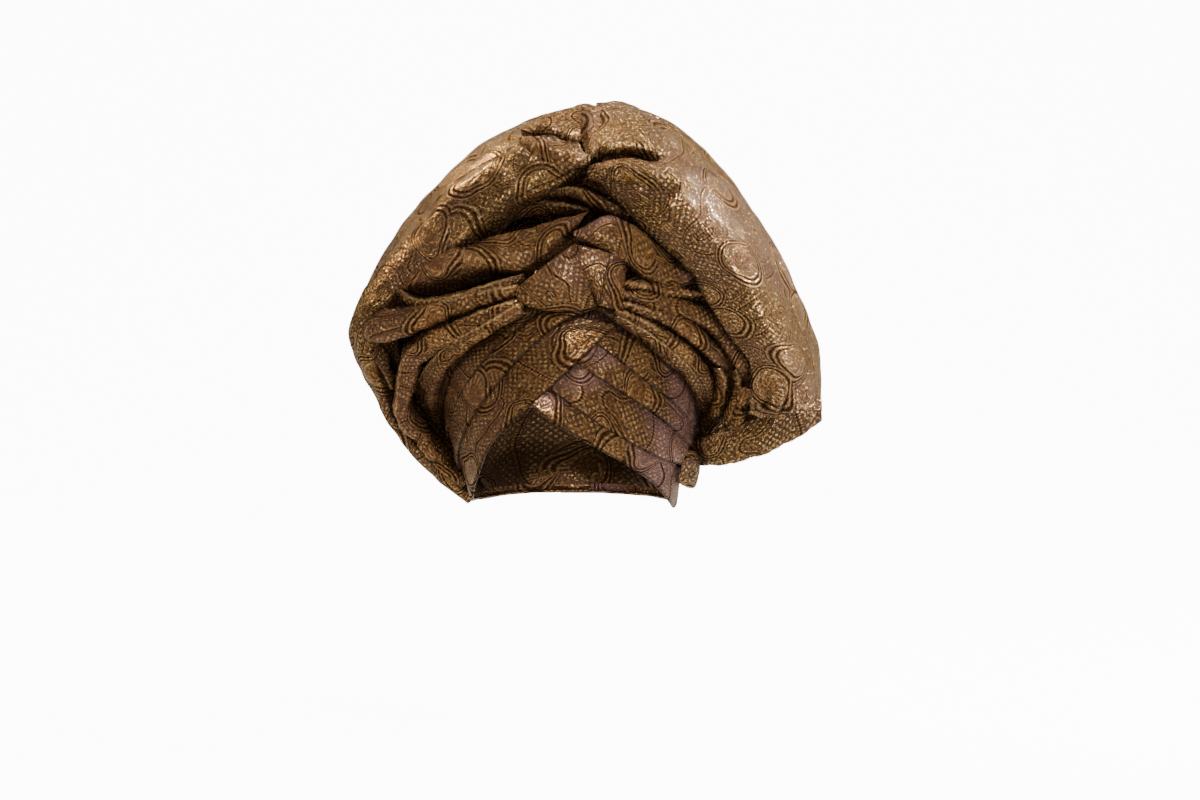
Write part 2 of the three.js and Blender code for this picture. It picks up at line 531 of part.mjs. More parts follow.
// Front to back, so that what shows in front keeps its whole shape
placeSheet('knot_left', fold(knotLeft, { tuckUp: 5, tuckLow: 5, along: 5 }));
placeSheet('knot_middle', fold(knotMiddle, { tuckUp: 3, tuckLow: 3, along: 5, lip: 2 }));
placeSheet('knot_right', fold(knotRight, { tuckUp: 3, tuckLow: 8, along: 5, lip: 2 }));
placeSheet('panel_left', fold(panelLeft, { tuckUp: 12, tuckLow: 8, along: 7 }));
placeSheet('roll_left_1', fold(rollLeft1, { tuckUp: 10, tuckLow: 5, lip: 2.5, along: 7 }));
placeSheet('leaf_right', fold(leafRight, { tuckUp: 8, tuckLow: 7, along: 8 }));
placeSheet('roll_left_2', fold(rollLeft2, { tuckUp: 7, tuckLow: 10, lip: 4, along: 8 }));
placeSheet('pinch_crease', fold(pinchCrease, { tuckUp: 4, tuckLow: 4, along: 6 }), brocadeLight);
placeSheet('pinch_leaf', fold(pinchLeaf, { tuckUp: 5, tuckLow: 6, along: 6 }));
placeSheet('pinch_panel', fold(pinchPanel, { tuckUp: 5, tuckLow: 4, along: 5 }));
placeSheet('pinch_fold', fold(pinchFold, { tuckUp: 4, tuckLow: 3, along: 4 }));
placeSheet('pinch_lump', fold(pinchLump, { tuckUp: 5, tuckLow: 4, along: 5 }), brocadeLight);
placeSheet('roll_right', fold(rollRight, { tuckUp: 6, tuckLow: 6, along: 6, lip: 2.5 }), brocadeShade);
placeSheet('fan_left_front', fold(fanLeftFront, { tuckUp: 7, tuckLow: 12, lip: 3.4, along: 14 }), brocadeLight);
placeSheet('fan_right_front', loft(shouldered(loftRows(fanRightFront)), 11, 7), brocadeLight);
placeSheet('fold_right_low', fold(foldRightLow, { tuckUp: 5, tuckLow: 8, lip: 2, along: 6 }), brocadeLight);
placeSheet('roll_left_3', fold(rollLeft3, { tuckUp: 6, tuckLow: 7, lip: 4, along: 9 }));
placeSheet('fold_left_back', fold(foldLeftBack, { tuckUp: 6, tuckLow: 6, along: 6 }), brocadeShade);
placeSheet('pocket_left', fold(pocketLeft, { tuckUp: 3, tuckLow: 4, along: 4, lip: 2 }), brocadeShade);
placeSheet('pocket_right_1', fold(pocketRight1, { tuckUp: 4, tuckLow: 4, lip: 2.5, along: 7 }));
placeSheet('pocket_right_2', fold(pocketRight2, { tuckUp: 4, tuckLow: 4, lip: 2, along: 5 }));
placeSheet('flap_right', fold(flapRight, { tuckUp: 3, tuckLow: 3, lip: 2, along: 4 }));
for (const [i, rows] of ribbonRight.entries()) {
  placeSheet(`ribbon_right_${i + 1}`, ribbon(rows, { ...RIBBON_FOLD, along: rows.length - 1 }));
}
for (const [i, rows] of [...ribbonLeft.entries()].reverse()) {
  placeSheet(`ribbon_left_${i + 1}`, ribbon(rows, { ...RIBBON_FOLD, along: rows.length - 1 }));
}
for (const [i, rows] of [...bandLeft.entries()].reverse()) {
  placeSheet(`band_left_${i + 1}`, pleat(rows));
}
placeSheet('band_tuck', fold(bandTuck, { tuckUp: 2, tuckLow: 4, lip: 2, along: 3 }));
for (const [i, rows] of [...bandRight.entries()].reverse()) {
  placeSheet(`band_right_${i + 1}`, pleat(rows));
}
placeSolid('nape_knot', napeKnot());
placeSheet('drape_back', loft(loftRows(drapeBack), 5, 4), brocadeLight);
placeSheet('fan_right_back', loft(loftRows(fanRightBack), 9, 4), brocadeLight);
placeSheet('fan_left_back', loft(loftRows(fanLeftBack), 12, 5), brocadeLight);
placeSolid('crown_cap', crownCap(), brocadeShade);

export default gele;
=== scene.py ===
# %% [markdown]
# # A tied gele head tie
#
# A gele is one long, stiff brocade cloth. It is pleated over the forehead, crossed, knotted in front
# and fanned out round the head. Here each pleat, fold and panel that the tie shows is a sheet of its
# own, worked out with numpy from a short table of measured places. The CAD frame already holds a
# coarse wall for each of them, so every sheet is drawn straight into that frame.

import math

import bpy
import numpy as np
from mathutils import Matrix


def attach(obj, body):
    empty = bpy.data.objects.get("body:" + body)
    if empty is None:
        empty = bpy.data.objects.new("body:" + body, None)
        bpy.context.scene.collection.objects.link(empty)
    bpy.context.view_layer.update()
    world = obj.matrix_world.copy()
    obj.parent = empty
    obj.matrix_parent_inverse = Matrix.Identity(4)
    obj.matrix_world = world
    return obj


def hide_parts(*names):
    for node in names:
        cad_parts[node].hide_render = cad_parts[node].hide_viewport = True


MM = 0.001
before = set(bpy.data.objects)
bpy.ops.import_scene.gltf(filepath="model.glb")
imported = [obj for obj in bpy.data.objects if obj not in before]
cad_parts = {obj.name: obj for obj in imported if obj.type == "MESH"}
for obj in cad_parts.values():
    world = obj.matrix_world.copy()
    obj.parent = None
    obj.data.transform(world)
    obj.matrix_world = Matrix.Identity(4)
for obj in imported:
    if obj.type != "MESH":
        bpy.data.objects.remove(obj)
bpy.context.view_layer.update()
print("cad nodes:", len(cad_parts))

# %% [markdown]
# ## The camera
#
# The tie is seen from the front and a little from above, through a long lens. A long lens keeps the fan
# from looking swollen. How far the camera stands off follows from how many millimetres one pixel of the
# picture should show at the middle of the tie.

# %% Camera
LENS_MM = 80
SENSOR_MM = 36
IMAGE_WIDTH = 1200
MM_PER_PIXEL = 0.74
CAMERA_TILT = math.radians(4)
AIM = np.array([21.5, -60, -60]) * MM

distance = MM_PER_PIXEL * LENS_MM / SENSOR_MM * IMAGE_WIDTH * MM
look = np.array([0, math.cos(CAMERA_TILT), -math.sin(CAMERA_TILT)])
camera = bpy.data.objects.new("camera", bpy.data.cameras.new("camera"))
camera.data.lens = LENS_MM
camera.data.sensor_width = SENSOR_MM
camera.location = AIM - distance * look
camera.rotation_euler = (math.pi / 2 - CAMERA_TILT, 0, 0)
bpy.context.collection.objects.link(camera)
bpy.context.scene.camera = camera
print("camera distance", round(distance, 3))

# %% [markdown]
# ## A way to write node trees
#
# A material is a graph. Written out node by node it is hard to read, so this small class lets a recipe
# read as a list of steps: each method adds one node, wires its inputs and gives back what it puts out.


# %% Node recipes
class Recipe:
    """Adds nodes to a tree. Each input is either a plain value or the output socket that feeds it."""

    def __init__(self, tree):
        self.tree = tree

    def feed(self, socket, value):
        """Gives a socket its plain value or the link that feeds it."""
        if isinstance(value, bpy.types.NodeSocket):
            self.tree.links.new(value, socket)
        else:
            socket.default_value = value

    def node(self, kind, inputs=None, **settings):
        """Any shader node, by the end of its type's name."""
        made = self.tree.nodes.new("ShaderNode" + kind)
        for name, value in settings.items():
            setattr(made, name, value)
        for key, value in (inputs or {}).items():
            self.feed(made.inputs[key], value)
        return made

    def calc(self, operation, *values):
        """One math node."""
        return self.node("Math", dict(enumerate(values)), operation=operation).outputs[0]

    def vector(self, operation, first, second):
        """One vector math node."""
        return self.node("VectorMath", {0: first, 1: second}, operation=operation).outputs[0]

    def times(self, a, b):
        return self.calc("MULTIPLY", a, b)

    def times_plus(self, a, b, c):
        """a * b + c"""
        return self.calc("MULTIPLY_ADD", a, b, c)

    def less(self, a, b):
        """a - b"""
        return self.calc("SUBTRACT", a, b)

    def without(self, mask):
        """1 - mask: the rest of the cloth."""
        return self.calc("SUBTRACT", 1.0, mask)

    def most(self, a, b):
        return self.calc("MAXIMUM", a, b)

    def wave(self, value, pitch):
        """A sine that repeats once for each pitch."""
        return self.calc("SINE", self.times(value, 2 * math.pi / pitch))

    def step(self, value, low, high):
        """A soft step: 0 below low, 1 above high."""
        inputs = {"Value": value, "From Min": low, "From Max": high}
        return self.node("MapRange", inputs, interpolation_type="SMOOTHSTEP").outputs[0]

    def between(self, value, rise, fall):
        """1 between two soft steps, each given by its low and its high end."""
        return self.times(self.step(value, *rise), self.without(self.step(value, *fall)))

    def noise(self, place, scale, detail):
        """A noise from 0 to 1 round 0.5; scale is how many of its waves fit in one unit of place."""
        inputs = {"Vector": place, "Scale": scale, "Detail": detail}
        return self.node("TexNoise", inputs).outputs["Fac"]

    def mix(self, mask, low, high):
        """Two colours mixed by a mask. Its colour sockets are the seventh and the eighth."""
        return self.node("Mix", {0: mask, 6: low, 7: high}, data_type="RGBA").outputs[2]


print("recipe steps:", sum(not name.startswith("_") for name in vars(Recipe)))

# %% [markdown]
# ## The stage
#
# The stage is one pale sweep: floor and backdrop meet in a large round bend, so no line shows behind the
# tie, which is held clear of the floor. The sweep glows, but only for the camera, so it is white in the
# picture and throws no light on the cloth.


# %% Stage
FLOOR_Z = -0.31
SWEEP_FRONT = -2.6
SWEEP_REACH = 1.2      # how far behind the crown the floor begins to bend
SWEEP_BEND = 1.0
SWEEP_HEIGHT = 3.0
SWEEP_HALF_WIDTH = 4.0
STAGE_SHADE = 0.5
BACKDROP_GLOW = 12.0


def pale_paint(name, shade, glow):
    """Matt paint with a very faint cloudiness. The glow is only seen, it lights nothing."""
    paint = bpy.data.materials.new(name)
    paint.use_nodes = True
    recipe = Recipe(paint.node_tree)
    shader = paint.node_tree.nodes["Principled BSDF"].inputs
    cloud = recipe.noise(recipe.node("TexCoord").outputs["Object"], 3.0, 2.0)
    shade_low = (shade * 0.985, shade * 0.985, shade * 0.98, 1)
    recipe.feed(shader["Base Color"], recipe.mix(cloud, shade_low, (shade, shade, shade, 1)))
    recipe.feed(shader["Roughness"], 0.9)
    recipe.feed(shader["Emission Color"], (1, 1, 1, 1))
    seen = recipe.node("LightPath").outputs["Is Camera Ray"]
    recipe.feed(shader["Emission Strength"], recipe.times(seen, glow))
    return paint


def sweep():
    """Floor and backdrop as one profile carried along X: flat, then a quarter circle, then upright."""
    turn = np.linspace(0, math.pi / 2, 24)
    y = np.concatenate([[SWEEP_FRONT], SWEEP_REACH + SWEEP_BEND * np.sin(turn), [SWEEP_REACH + SWEEP_BEND]])
    z = np.concatenate([[0], SWEEP_BEND * (1 - np.cos(turn)), [SWEEP_HEIGHT]]) + FLOOR_Z
    x = np.array([-SWEEP_HALF_WIDTH, SWEEP_HALF_WIDTH])
    points = np.stack(np.broadcast_arrays(x[None, :], y[:, None], z[:, None]), -1).reshape(-1, 3)
    k = np.arange(len(y) - 1) * 2
    mesh = bpy.data.meshes.new("sweep")
    mesh.from_pydata(points.tolist(), [], np.stack([k, k + 1, k + 3, k + 2], 1).tolist())
    mesh.polygons.foreach_set("use_smooth", [True] * len(mesh.polygons))
    made = bpy.data.objects.new("sweep", mesh)
    bpy.context.collection.objects.link(made)
    made.data.materials.append(pale_paint("stage_paint", STAGE_SHADE, BACKDROP_GLOW))


sweep()
print("floor at", FLOOR_Z)

# %% [markdown]
# ## Light
#
# The cloth has a metallic thread, so it lives from the lights that it mirrors. The key, high on the
# right, draws the bright stripe down the right of the fan. A warm one behind the upper left lights the
# rim there. One from above and a wide one in front keep the folds readable. The room is nearly dark, and
# like the stage it is white only where the camera looks straight at it.


# %% Lights
LIGHT_AIM = np.array([0, 0, 0.02])
ROOM_LIGHT = 0.05


def soft_light(name, place, size, watts, tint):
    """A square area light at a place, turned towards the middle of the tie."""
    lamp = bpy.data.lights.new(name, "AREA")
    lamp.size = size
    lamp.energy = watts
    lamp.color = tint
    made = bpy.data.objects.new(name, lamp)
    made.location = place
    aim = LIGHT_AIM - np.array(place)
    flat = math.hypot(aim[0], aim[1])
    made.rotation_euler = (math.atan2(flat, -aim[2]), 0, math.atan2(aim[1], aim[0]) - math.pi / 2)
    bpy.context.collection.objects.link(made)
    print(name, watts, "W")


soft_light("key_right", (1.1, 0.08, 0.85), 0.25, 58, (1, 0.93, 0.82))
soft_light("rim_left", (-0.75, 0.8, 1.0), 0.25, 19, (1, 0.68, 0.30))
soft_light("top", (0.1, -0.55, 1.5), 0.25, 17, (1, 0.90, 0.76))
soft_light("front", (-0.2, -2.2, 0.3), 0.6, 20, (1, 0.90, 0.78))
world = bpy.data.worlds.new("studio")
world.use_nodes = True
recipe = Recipe(world.node_tree)
room = world.node_tree.nodes["Background"].inputs
seen = recipe.node("LightPath").outputs["Is Camera Ray"]
recipe.feed(room["Color"], (1, 1, 1, 1))
recipe.feed(room["Strength"], recipe.times_plus(seen, BACKDROP_GLOW, ROOM_LIGHT))
bpy.context.scene.world = world

# %% [markdown]
# ## The cloth: a jacquard brocade
#
# The pattern is the common paisley and scroll ground of a damask: teardrops with a curled tip, ringed
# by a few fine lines, some filled with a lattice of dots, and between them loose scrolls and ribs. Nothing
# is drawn by hand. A Voronoi node gives every teardrop its own centre and a random turn. Round each
# centre a radius that grows on one side, twisted with distance, gives the curled drop, and repeated steps
# of the distance to its edge give the rings. The place that goes in is the sheet's own UV map in metres,
# so the pattern follows the folds as woven cloth does.


# %% The jacquard group
MOTIF_MM = 64          # from one teardrop to the next
DROP_MM = 17           # a teardrop's mean radius
TIP_MM = 9             # how much further it reaches on its pointed side
TWIST = 0.05           # radians that it turns for each mm from its middle
RING_MM = 3.7          # from one ring line to the next
DOT_MM = 3.8           # pitch of the dot lattice
RIB_MM = 2.3           # pitch of the ribs
THREAD_MM = 0.9        # pitch of the weave that still shows
SPECK_MM = 2.1         # size of the weave's speckle
SWAY_MM = 45           # how slowly the rows of motifs wander
SWAY_BY_MM = 22        # and how far
SCROLL_MM = 38         # size of the slow noise whose level lines are the scrolls
SCROLL_STEEP = 70.0    # the noise times this is a distance in mm, as the teardrops' edge is
PATCHES = 5.2          # how often that noise passes from one kind of fill to another
STROKES = 15.0         # strokes in the crown inside a teardrop, for each radian round it
SEED_SHIFT_MM = (173.0, 91.0)


def jacquard_group():
    """Place in metres and a seed go in. Out: line, gold, grain masks and the relief height."""
    tree = bpy.data.node_groups.new("jacquard", "ShaderNodeTree")
    tree.interface.new_socket("Place", in_out="INPUT", socket_type="NodeSocketVector")
    tree.interface.new_socket("Seed", in_out="INPUT", socket_type="NodeSocketFloat")
    for name in ("Line", "Gold", "Grain", "Relief"):
        tree.interface.new_socket(name, in_out="OUTPUT", socket_type="NodeSocketFloat")
    r = Recipe(tree)
    source = tree.nodes.new("NodeGroupInput").outputs
    ways = [r.times(source["Seed"], shift) for shift in SEED_SHIFT_MM]
    shift = r.node("CombineXYZ", dict(enumerate(ways))).outputs[0]
    mm = r.vector("ADD", r.vector("MULTIPLY", source["Place"], (1000, 1000, 1000)), shift)

    # The ground is warped a little, so that rows of motifs don't run straight
    sway = r.node("TexNoise", {"Vector": mm, "Scale": 1 / SWAY_MM, "Detail": 1.0}).outputs["Color"]
    sway = r.vector("MULTIPLY", r.vector("SUBTRACT", sway, (0.5, 0.5, 0.5)), (SWAY_BY_MM, SWAY_BY_MM, 0))
    warped = r.vector("ADD", mm, sway)

    # One teardrop per cell: its own centre, its own turn, twisted further with distance
    cell = r.node("TexVoronoi", {"Vector": warped, "Scale": 1 / MOTIF_MM, "Randomness": 0.7},
                  voronoi_dimensions="2D", feature="F1").outputs
    chance = r.node("SeparateColor", {0: cell["Color"]}).outputs
    flat = r.vector("MULTIPLY", r.vector("SUBTRACT", warped, cell["Position"]), (1, 1, 0))
    radius = r.node("VectorMath", {0: flat}, operation="LENGTH").outputs["Value"]
    turn = r.times_plus(radius, TWIST, r.times(chance[0], 6.283))
    turned = r.node("VectorRotate", {"Vector": flat, "Angle": turn}, rotation_type="Z_AXIS").outputs[0]
    side = r.node("SeparateXYZ", {0: turned}).outputs
    toward = r.calc("DIVIDE", side["X"], r.calc("ADD", radius, 0.5))
    edge = r.less(radius, r.times_plus(toward, TIP_MM, DROP_MM))

    # Rings: fine dark lines at even steps either side of the teardrop's edge
    saw = r.calc("PINGPONG", edge, RING_MM / 2)
    near = r.between(edge, (-1.7 * RING_MM, -1.5 * RING_MM), (0.8 * RING_MM, 1.0 * RING_MM))
    ring = r.times(r.without(r.step(saw, 0.55, 1.0)), near)

    # Scrolls between the teardrops: level lines of a slow noise, in patches
    slow = r.noise(warped, 1 / SCROLL_MM, 0.0)
    level = r.calc("PINGPONG", r.times(slow, SCROLL_STEEP), RING_MM / 2)
    band = r.calc("PINGPONG", r.times(slow, PATCHES), 0.5)
    outside = r.step(edge, 0.9 * RING_MM, 1.1 * RING_MM)
    scrolled = r.times(outside, r.step(band, 0.36, 0.38))
    line = r.most(ring, r.times(r.without(r.step(level, 0.5, 1.0)), scrolled))

    # A crown of short strokes inside each teardrop, set out round its middle
    crown = r.between(edge, (-3.4 * RING_MM, -3.2 * RING_MM), (-2.0 * RING_MM, -1.8 * RING_MM))
    arc = r.times_plus(r.calc("ARCTAN2", side["Y"], side["X"]), STROKES, r.times(radius, 0.3))
    stroke = r.times(r.step(r.calc("SINE", arc), 0.1, 0.6), crown)

    # Fills: a lattice of dots in some drops, dots or ribs by patch outside them
    axes = r.node("SeparateXYZ", {0: mm}).outputs
    slant = DOT_MM * 1.414
    dots = r.step(r.times(r.wave(axes["X"], slant), r.wave(axes["Y"], slant)), 0.15, 0.55)
    inside = r.without(r.step(edge, -3.7 * RING_MM, -3.5 * RING_MM))
    drop_dots = r.times(inside, r.calc("GREATER_THAN", chance[1], 0.55))
    dotted = r.most(drop_dots, r.less(outside, r.step(band, 0.21, 0.24)))
    ribs = r.step(r.wave(axes["Y"], RIB_MM), -0.2, 0.6)
    ribbed = r.times(r.times(outside, r.step(band, 0.33, 0.36)), 0.5)
    fill = r.most(r.times(dots, dotted), r.times(ribs, ribbed))
    fill = r.most(fill, r.times(stroke, 0.8))

    # Grain: the weave's own speckle. More of the metallic thread comes up inside a figure than outside
    inputs = {"Vector": mm, "Scale": 1 / SPECK_MM, "Detail": 2.0, "Roughness": 0.7}
    speck = r.node("TexNoise", inputs).outputs["Fac"]
    weave = r.times(r.wave(axes["Y"], THREAD_MM), r.wave(axes["X"], THREAD_MM))
    body = r.most(r.without(r.step(edge, -0.4 * RING_MM, 0.2 * RING_MM)), scrolled)
    more = r.times_plus(body, 0.05, -0.015)
    grain = r.step(r.calc("ADD", r.times_plus(weave, 0.06, speck), more), 0.44, 0.58)

    # The rim beside every line catches the light: it is the raised edge of the woven figure
    bright = r.times(r.step(saw, 1.1, 1.6), near)
    gold = r.most(fill, r.times(bright, 0.45))
    gold = r.most(gold, r.times(r.step(speck, 0.60, 0.68), 0.9))
    relief = r.less(r.times_plus(gold, 0.5, r.times(grain, 0.5)), line)
    target = tree.nodes.new("NodeGroupOutput")
    for name, value in (("Line", line), ("Gold", gold), ("Grain", grain), ("Relief", relief)):
        r.feed(target.inputs[name], value)
    return tree


jacquard = jacquard_group()
print("jacquard nodes:", len(jacquard.nodes))

# %% [markdown]
# ## Three looks of one cloth
#
# The same brocade is given in three copies: the plain one in the pleats, where its brown ground shows
# most, a lighter, more golden copy on the fan, which is painted light, and a darker, duller copy deep in
# the folds, which is painted shade. Each is one Principled BSDF. The masks of the jacquard group mix its
# colours, lower its roughness on the metallic thread and lift the figure with a bump of less than a
# millimetre. Four values kept on each mesh do the rest: a seed that shifts the pattern, the share of
# purple thread, how the cloth bends, for highlight and shade painted on its ridges and creases, and how
# much cloth lies close by, for painted shade in the gaps between folds.


# %% Brocade materials
LINE_COLOUR = (0.026, 0.011, 0.006, 1)
PURPLE_THREAD = (0.255, 0.130, 0.145, 1)
# The colour of painted shade, in sharp creases and in the gaps between the folds
PAINTED_SHADE_COLOUR = (0.014, 0.006, 0.002, 1)
RELIEF_M = 0.0008
CLOUDS_PER_M = 18.0     # dark clouds in the weave
CLOUD_SHARE = 0.35
TINGES_PER_M = 11.0     # patches where the purple thread comes up
LINE_SHARE = 0.8        # how far the figure's lines go to their own colour
CREASE_SHADE_SHARE = 0.8      # and the painted shade in sharp creases to its colour
THREAD_SMOOTHER = 0.18  # how much less rough the thread is than the ground
LINE_ROUGHER = 0.4      # and how much rougher the lines are
SPECULAR = 0.3


def brocade(name, ground, lit, fleck, metallic, roughness):
    """Ground and lit are the two colours of the weave, fleck its brightest float."""
    cloth = bpy.data.materials.new(name)
    cloth.use_nodes = True
    r = Recipe(cloth.node_tree)
    shader = cloth.node_tree.nodes["Principled BSDF"].inputs
    place = r.node("UVMap", uv_map="cloth").outputs[0]
    kept = {key: r.node("Attribute", attribute_name=key).outputs["Fac"]
            for key in ("seed", "dyed", "bend", "nook")}
    figure = r.node("Group", node_tree=jacquard)
    r.feed(figure.inputs["Place"], place)
    r.feed(figure.inputs["Seed"], kept["seed"])
    line, gold, grain, relief = (figure.outputs[key] for key in ("Line", "Gold", "Grain", "Relief"))

    # Colour: the weave, its clouds and purple patches, then the figure's gold and its dark lines
    base = r.mix(grain, ground, lit)
    cloud = r.step(r.noise(place, CLOUDS_PER_M, 2.0), 0.5, 0.75)
    base = r.mix(r.times(cloud, CLOUD_SHARE), base, LINE_COLOUR)
    tinge = r.step(r.noise(place, TINGES_PER_M, 0.0), 0.42, 0.54)
    base = r.mix(r.times(tinge, kept["dyed"]), base, PURPLE_THREAD)
    base = r.mix(r.times(gold, r.times_plus(grain, 0.45, 0.3)), base, fleck)
    base = r.mix(r.times(line, LINE_SHARE), base, LINE_COLOUR)

    # Painted highlight on sharp ridges (partly worn thread), painted shade in hollows and between folds
    lip = r.step(kept["bend"], 0.25, 0.8)
    base = r.mix(r.times(lip, r.times_plus(grain, 0.35, 0.1)), base, fleck)
    # A sharp hollow gets painted shade; so does a band's folded edge, whose bend is turned below 0
    hollow = r.step(r.times(kept["bend"], -1.0), 0.06, 0.5)
    base = r.mix(r.times(hollow, CREASE_SHADE_SHARE), base, PAINTED_SHADE_COLOUR)
    # Painted shade where other cloth lies close in front, a little less of it on the ridges
    nook = r.times(kept["nook"], r.times_plus(lip, -0.5, 0.85))
    r.feed(shader["Base Color"], r.mix(nook, base, PAINTED_SHADE_COLOUR))

    # Shine: only the thread is metal and the smoothest; under the painted shade it loses metal and shine
    thread = r.times(r.times(r.most(gold, grain), r.without(line)), r.without(nook))
    r.feed(shader["Metallic"], r.times_plus(thread, metallic, 0.08))
    rough = r.times_plus(line, LINE_ROUGHER, roughness)
    r.feed(shader["Roughness"], r.times_plus(thread, -THREAD_SMOOTHER, rough))
    r.feed(shader["Specular IOR Level"], r.times(r.without(r.most(line, nook)), SPECULAR))
    bump = r.node("Bump", {"Strength": 1.0, "Distance": RELIEF_M, "Height": relief})
    r.feed(shader["Normal"], bump.outputs[0])
    return cloth


# brocade_light is the lighter copy for the fan: painted light. brocade_shade is the darker copy for the
# pieces deep in the folds: painted shade.
looks = {
    "brocade": brocade("brocade", (0.045, 0.018, 0.006, 1), (0.31, 0.150, 0.050, 1),
                       (0.90, 0.62, 0.30, 1), 0.62, 0.40),
    "brocade_light": brocade("brocade_light", (0.040, 0.017, 0.005, 1), (0.37, 0.195, 0.060, 1),
                             (1.0, 0.76, 0.42, 1), 0.85, 0.38),
    "brocade_shade": brocade("brocade_shade", (0.026, 0.011, 0.004, 1), (0.13, 0.062, 0.020, 1),
                             (0.50, 0.33, 0.15, 1), 0.4, 0.48),
}
print("materials:", sorted(looks))

# %% [markdown]
# ## From a short table to a sheet of cloth
#
# Every fold starts as a few rows of measured places. A smooth curve carries each row across the cloth
# and another one carries it along, which gives a grid of points: a surface of two parameters. The
# curve is a Catmull-Rom spline with centripetal spacing, the same one that the CAD walls use, so the
# fine sheet lies where the coarse wall does.


# %% Splines and grids
CORE_Y = 40          # the tie's upright middle line lies this far behind the crown seat, in mm
CORE_Z_SHARE = 0.5   # places look back to that line at this share of their own height


def curve_through(points, count):
    """Points (n, m, 3) to (count, m, 3): each of the m lines as a centripetal Catmull-Rom spline.

    Two points are as far apart in the curve's parameter as the square root of their distance. The slope
    at a point is the slope of the chord before it, plus that of the chord after it, less that of the
    chord from the one neighbour to the other.
    """
    points = np.asarray(points, float)
    p = np.concatenate([2 * points[:1] - points[1:2], points, 2 * points[-1:] - points[-2:-1]])
    gap = np.sqrt(np.maximum(np.linalg.norm(np.diff(p, axis=0), axis=-1, keepdims=True), 1e-6))
    g0, g1, g2 = gap[:-2], gap[1:-1], gap[2:]
    a, b, c, d = p[:-3], p[1:-2], p[2:-1], p[3:]
    slope_b = g1 * ((b - a) / g0 - (c - a) / (g0 + g1) + (c - b) / g1)
    slope_c = g1 * ((c - b) / g1 - (d - b) / (g1 + g2) + (d - c) / g2)
    t = np.linspace(0, len(points) - 1, count)
    k = np.minimum(t.astype(int), len(points) - 2)
    s = (t - k)[:, None, None]
    b, c, slope_b, slope_c = b[k], c[k], slope_b[k], slope_c[k]
    return (b * (2 * s**3 - 3 * s**2 + 1) + slope_b * (s**3 - 2 * s**2 + s)
            + c * (3 * s**2 - 2 * s**3) + slope_c * (s**3 - s**2))


def loft(rows, along, across):
    """Rows of points (n, m, 3) to a grid (along, across, 3): across each row first, then along."""
    sections = curve_through(np.swapaxes(np.asarray(rows, float), 0, 1), across)
    return curve_through(np.swapaxes(sections, 0, 1), along)


def unit(v):
    """Vectors of length 1."""
    return v / np.maximum(np.linalg.norm(v, axis=-1, keepdims=True), 1e-9)


def heading(points):
    """The way along a line of points, as unit vectors: from the point before to the point after."""
    ends = points[1:2] - points[:1], points[-1:] - points[-2:-1]
    return unit(np.concatenate([ends[0], points[2:] - points[:-2], ends[1]]))


def from_core(points, z_share=CORE_Z_SHARE):
    """From the tie's upright middle line to each point."""
    return points * [1, 1, 1 - z_share] - [0, CORE_Y, 0]


def normals(grid):
    """The surface's normal: the cross product of its slopes along and across."""
    return unit(np.cross(np.gradient(grid, axis=0), np.gradient(grid, axis=1)))


def outward(grid):
    """The normals, all turned to the side that faces away from the middle line."""
    way_out = normals(grid)
    return way_out * (1 if np.sum(way_out * from_core(grid)) > 0 else -1)


def lengths(grid):
    """How far each point lies along its line and across its row, measured on the cloth, in mm."""
    steps_u = np.linalg.norm(np.diff(grid, axis=0), axis=-1).mean(1)
    steps_v = np.linalg.norm(np.diff(grid, axis=1), axis=-1)
    u = np.concatenate([[0], np.cumsum(steps_u)])[:, None] * np.ones(grid.shape[:2])
    v = np.concatenate([np.zeros((len(grid), 1)), np.cumsum(steps_v, axis=1)], axis=1)
    return u, v - v[:, -1:] / 2


def smooth(values, rounds):
    """Averages a grid of values with their neighbours, again and again."""
    for _ in range(rounds):
        wide = np.pad(values, 1, mode="edge")
        beside = wide[:-2, 1:-1] + wide[2:, 1:-1] + wide[1:-1, :-2] + wide[1:-1, 2:]
        values = (beside + 2 * values) / 6
    return values


flat_test = loft(np.array([[[x, y, 0.0] for y in range(4)] for x in range(4)]), 31, 31)
print("a flat test sheet stays flat within", float(np.ptp(flat_test[..., 2])), "mm")

# %% [markdown]
# ## Three ways to shape a fold
#
# A real gele is shaped by three moves. Rolling a strip over gives a fold whose two edges turn in behind
# it. Laying a strip flat and turning only its lower edge under gives a pleat. Pinching gives a narrow
# ribbon of cloth, which is a fold known by its middle line. Each function below lays seven points across
# a row of the table and lofts them.
#
# In every fold's table a row is one place along the fold, in mm: upper edge x y z, lower edge x y z, and
# how far the face swells between them.


# %% Folds, pleats and ribbons
def across_frame(rows):
    """Rows of two edges: the upper edge, the way down to the lower one, the way out, and the width."""
    upper, lower = rows[:, :3], rows[:, 3:6]
    middle = (upper + lower) / 2
    width = np.linalg.norm(lower - upper, axis=1)
    down = unit(lower - upper)
    out = unit(np.cross(heading(middle), down))
    out *= np.where(np.sum(out * from_core(middle), axis=1) < 0, -1, 1)[:, None]
    return upper, down, out, width


def section(places, down_mm, out_mm):
    """Points so far down the cloth and so far out of it, for every row."""
    upper, down, out, _ = places
    down_mm = np.stack(down_mm, 1)[..., None]
    out_mm = np.stack(out_mm, 1)[..., None]
    return upper[:, None] + down[:, None] * down_mm + out[:, None] * out_mm


